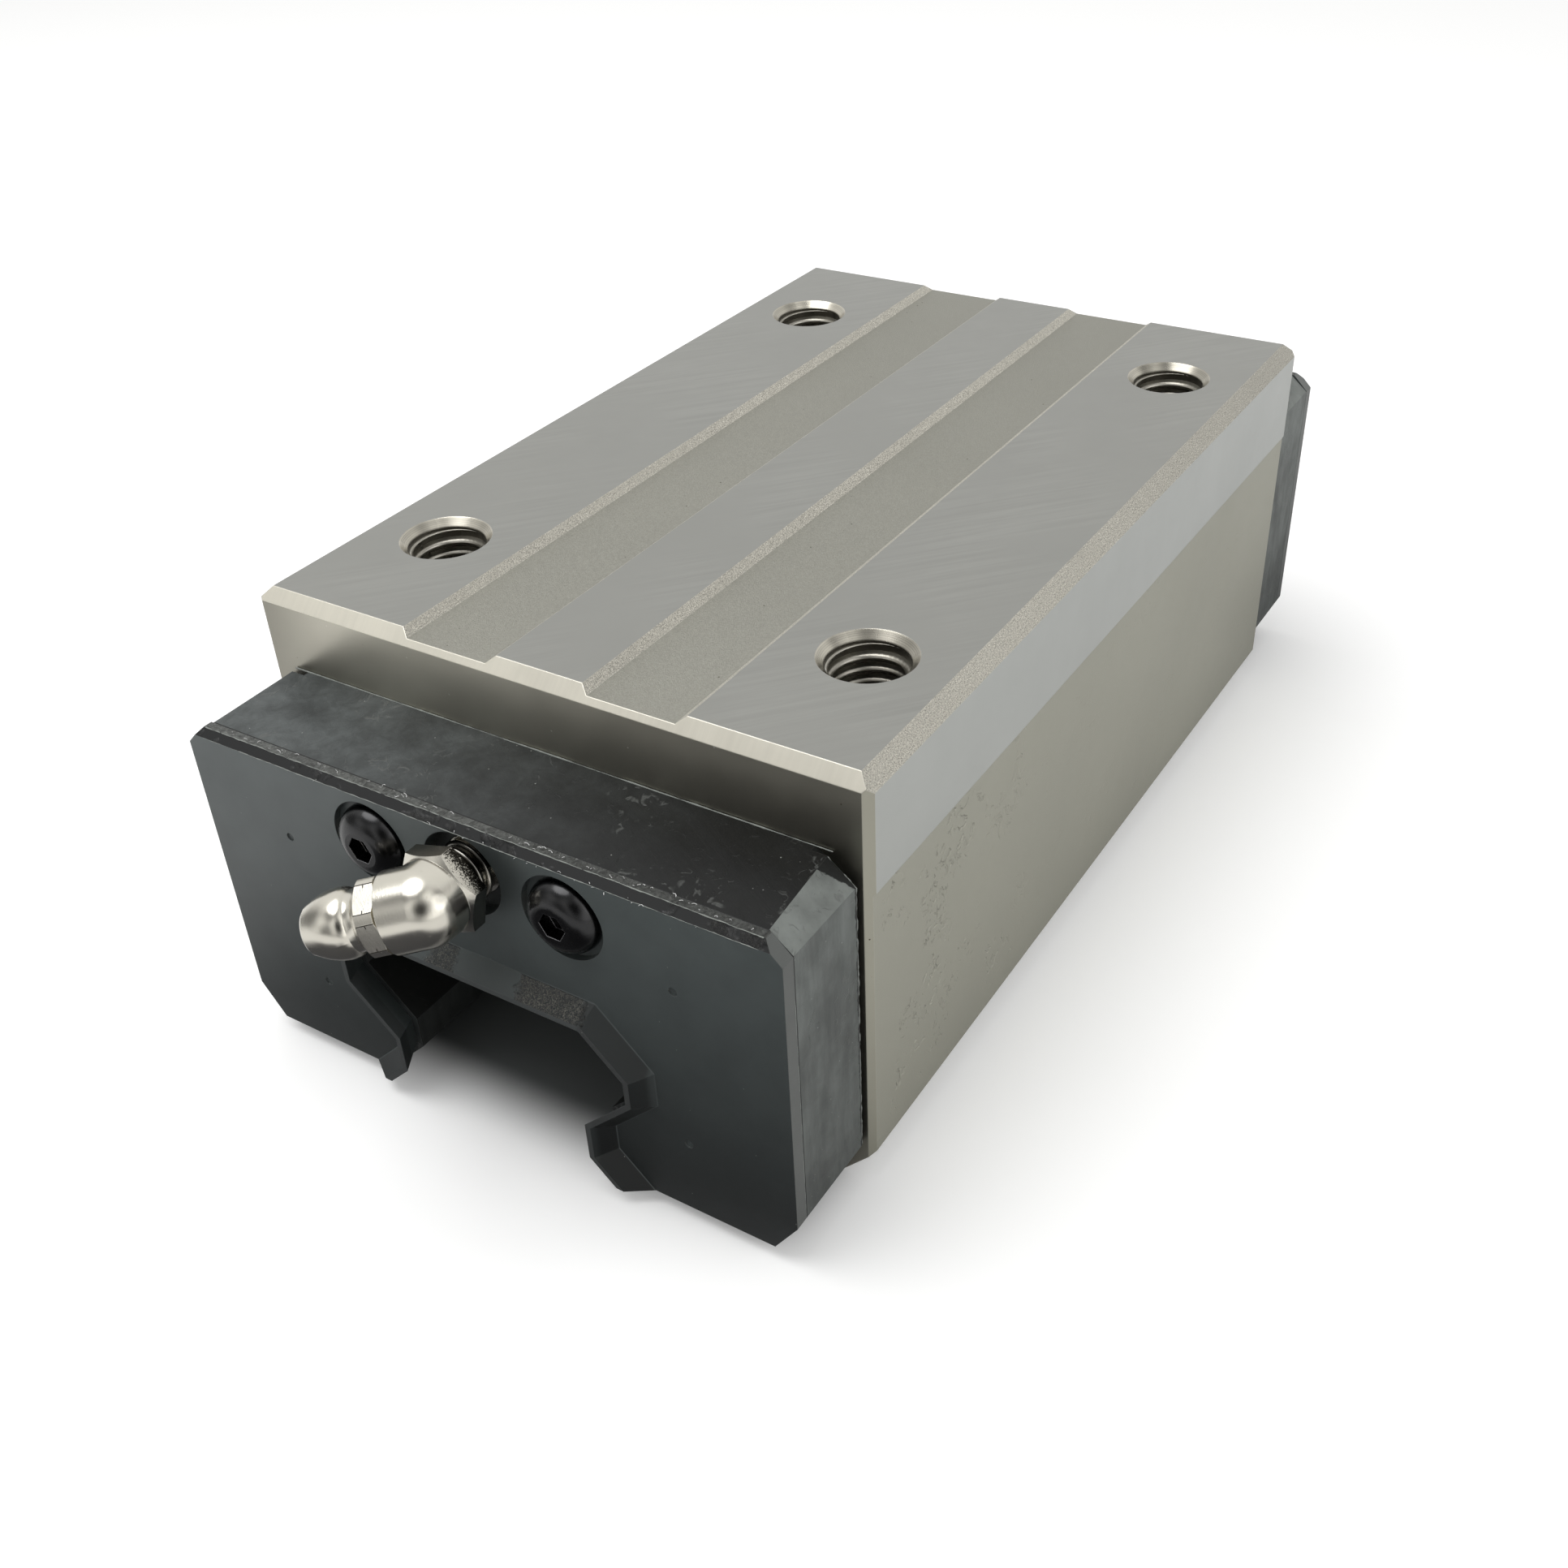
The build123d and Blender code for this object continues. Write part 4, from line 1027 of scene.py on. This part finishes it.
def burrGroup():
    tree, given = newGroup("tornBurrs", [
        ("Spacing", "Float", 0.0008), ("Thickness", "Float", 0.00004), ("Length", "Float", 0.0005),
        ("Scatter", "Float", 0.0004), ("Share", "Float", 0.5), ("Seed", "Int", 3),
        ("Finish", "Material", None)])
    line = addNode(tree, "GeometryNodeMeshToCurve", None, {"Mesh": given["Geometry"]})
    points = addNode(tree, "GeometryNodeCurveToPoints", {"mode": "LENGTH"},
                     {"Curve": line, "Length": given["Spacing"]})
    chance = addNode(tree, "FunctionNodeRandomValue", {"data_type": "FLOAT"},
                     {2: 0.0, 3: 1.0, "Seed": given["Seed"]})
    gone = calc(tree, "GREATER_THAN", chance.outputs[1], given["Share"])
    kept = addNode(tree, "GeometryNodeDeleteGeometry", {"domain": "POINT"},
                   {"Geometry": points, "Selection": gone})
    scatterSeed = calc(tree, "ADD", given["Seed"], 7.0)
    turnSeed = calc(tree, "ADD", given["Seed"], 13.0)
    way = addNode(tree, "FunctionNodeRandomValue", {"data_type": "FLOAT_VECTOR"},
                  {0: (-1, -1, -1), 1: (1, 1, 1), "Seed": scatterSeed})
    push = vectorCalc(tree, "SCALE", way, given["Scatter"])
    spots = addNode(tree, "GeometryNodeSetPosition", None, {"Geometry": kept, "Offset": push})
    half = both(tree, given["Length"], 0.5)
    start = addNode(tree, "ShaderNodeCombineXYZ", None, {"X": both(tree, given["Length"], -0.5)})
    end = addNode(tree, "ShaderNodeCombineXYZ", None, {"X": half})
    rise = addNode(tree, "ShaderNodeCombineXYZ", None, {"Y": half})
    curl = addNode(tree, "GeometryNodeCurveQuadraticBezier", None, {
        "Resolution": 5, "Start": start, "Middle": rise, "End": end})
    profile = addNode(tree, "GeometryNodeCurvePrimitiveCircle", None,
                      {"Resolution": 4, "Radius": given["Thickness"]})
    body = addNode(tree, "GeometryNodeCurveToMesh", None, {
        "Curve": curl, "Profile Curve": profile, "Fill Caps": True})
    turn = addNode(tree, "FunctionNodeRandomValue", {"data_type": "FLOAT_VECTOR"},
                   {0: (-0.9, -0.9, -0.6), 1: (0.9, 0.9, 0.6), "Seed": turnSeed})
    grow = addNode(tree, "FunctionNodeRandomValue", {"data_type": "FLOAT"},
                   {2: 0.35, 3: 1.2, "Seed": turnSeed})
    copies = addNode(tree, "GeometryNodeInstanceOnPoints", None, {
        "Points": spots, "Instance": body, "Rotation": turn,
        "Scale": grow.outputs[1]})
    endGroup(tree, copies, given["Finish"])
    return tree


burrSettings = {
    # stretches of edge in millimetres on the front end, with how thickly they are covered
    "bevelLine": {"path": [(-8, -65.72, -9.47), (26, -65.72, -9.47)], "Spacing": 0.0007, "Length": 0.0007,
                  "Thickness": 0.000035, "Scatter": 0.00016, "Share": 0.42, "Seed": 5},
    "bevelLeft": {"path": [(-30, -65.72, -9.47), (-8, -65.72, -9.47)], "Spacing": 0.0011, "Length": 0.0005,
                  "Thickness": 0.00003, "Scatter": 0.00012, "Share": 0.30, "Seed": 11},
    "stripLine": {"path": [(-30, -64.55, -8.66), (31, -64.55, -8.66)], "Spacing": 0.0004, "Length": 0.00045,
                  "Thickness": 0.00003, "Scatter": 0.0003, "Share": 0.45, "Seed": 21},
}


def makeBurrs(s, group, finish):
    pieces = []
    for name, line in s.items():
        values = {key: value for key, value in line.items() if key != "path"}
        for end in (1, -1):
            path = [(x * mm, y * end * mm, z * mm) for x, y, z in line["path"]]
            values["Seed"] = line["Seed"] + (end < 0)
            pieces.append(grownMesh(f"{name}{end}", group, path, [(0, 1)], values, finish))
    burrs = joined("sealBurrs", pieces)
    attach(burrs, "block")
    print("sealBurrs faces:", len(burrs.data.polygons))


def raggedFinish(name, colour):
    finish, tree, shader = newFinish(name)
    point = objectPoint(tree)
    tone = shade(tree, colour, spread(tree, grain(tree, point, 1.2, 4.0, 0.6), 0.5, 1.5))
    rough = spread(tree, grain(tree, point, 2.0, 3.0, 0.6), 0.35, 0.6)
    plug(tree, shader, tone, rough, None, (grain(tree, point, 6.0, 3.0, 0.6), 0.01, 0.6))
    return finish


makeFlash(flashSettings, flashGroup(), raggedFinish("flashPlastic", srgb(138, 142, 138)))
makeBurrs(burrSettings, burrGroup(), raggedFinish("burrRubber", srgb(88, 90, 88)))
print("flash and burrs grown")


# crimp marks: short scribed lines over the small hexagon's corners

crimpSettings = {
    "bend": 62.0,
    "turn": 17.0,
    "elbowCentre": (0.0, -70.8, -14.0),
    "hexStart": 2.9,
    "hexHeight": 2.2,
    "hexTurn": 34.0,
    "cornerRadius": 3.80,
    "flatRadius": 3.50,
    "lineLength": 1.70,
    "lineWidth": 0.09,
    "proud": 0.010,
    "spread": 0.36,
}


def makeCrimps(s):
    bend, turn = math.radians(s["bend"]), math.radians(s["turn"])
    way = Vector((-math.sin(bend) * math.cos(turn), -math.cos(bend), -math.sin(bend) * math.sin(turn)))
    across = Vector((0, 0, 1)).cross(way).normalized()
    upward = way.cross(across)
    middle = Vector(s["elbowCentre"]) + way * (s["hexStart"] + s["hexHeight"] / 2)
    shell = bmesh.new()

    def bar(centre, along, sideways, length, width):
        out = along.cross(sideways).normalized()
        corners = []
        for a in (-0.5, 0.5):
            for b in (-0.5, 0.5):
                for c in (-1.0, 1.0):
                    spot = centre + along * a * length + sideways * b * width + out * c * s["proud"]
                    corners.append(shell.verts.new(mm * spot))
        for face in ((0, 1, 3, 2), (4, 6, 7, 5), (0, 4, 5, 1), (2, 3, 7, 6), (0, 2, 6, 4), (1, 5, 7, 3)):
            shell.faces.new([corners[i] for i in face])

    for number in range(6):
        spin = math.radians(s["hexTurn"] + 60 * number)
        for hand in (-1, 1):
            # lines lie on the flats beside the turned-off corner
            flat = spin + math.radians(30 * hand)
            out = across * math.cos(flat) + upward * math.sin(flat)
            sideways = way.cross(out)
            reach = math.sqrt(s["cornerRadius"] ** 2 - s["flatRadius"] ** 2)
            edge = middle + out * s["flatRadius"] - sideways * hand * (reach - s["lineWidth"] / 2)
            bar(edge, way, sideways, s["lineLength"], s["lineWidth"])
            start = edge + sideways * hand * s["spread"] / 2
            bar(start, sideways, way, s["spread"], s["lineWidth"])
    bmesh.ops.recalc_face_normals(shell, faces=shell.faces)
    mesh = bpy.data.meshes.new("crimpMarks")
    shell.to_mesh(mesh)
    shell.free()
    marks = newObject("crimpMarks", mesh)
    mesh.materials.append(raggedFinish("crimpShadow", srgb(42, 38, 30)))
    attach(marks, "block")


makeCrimps(crimpSettings)
print("crimp marks made")
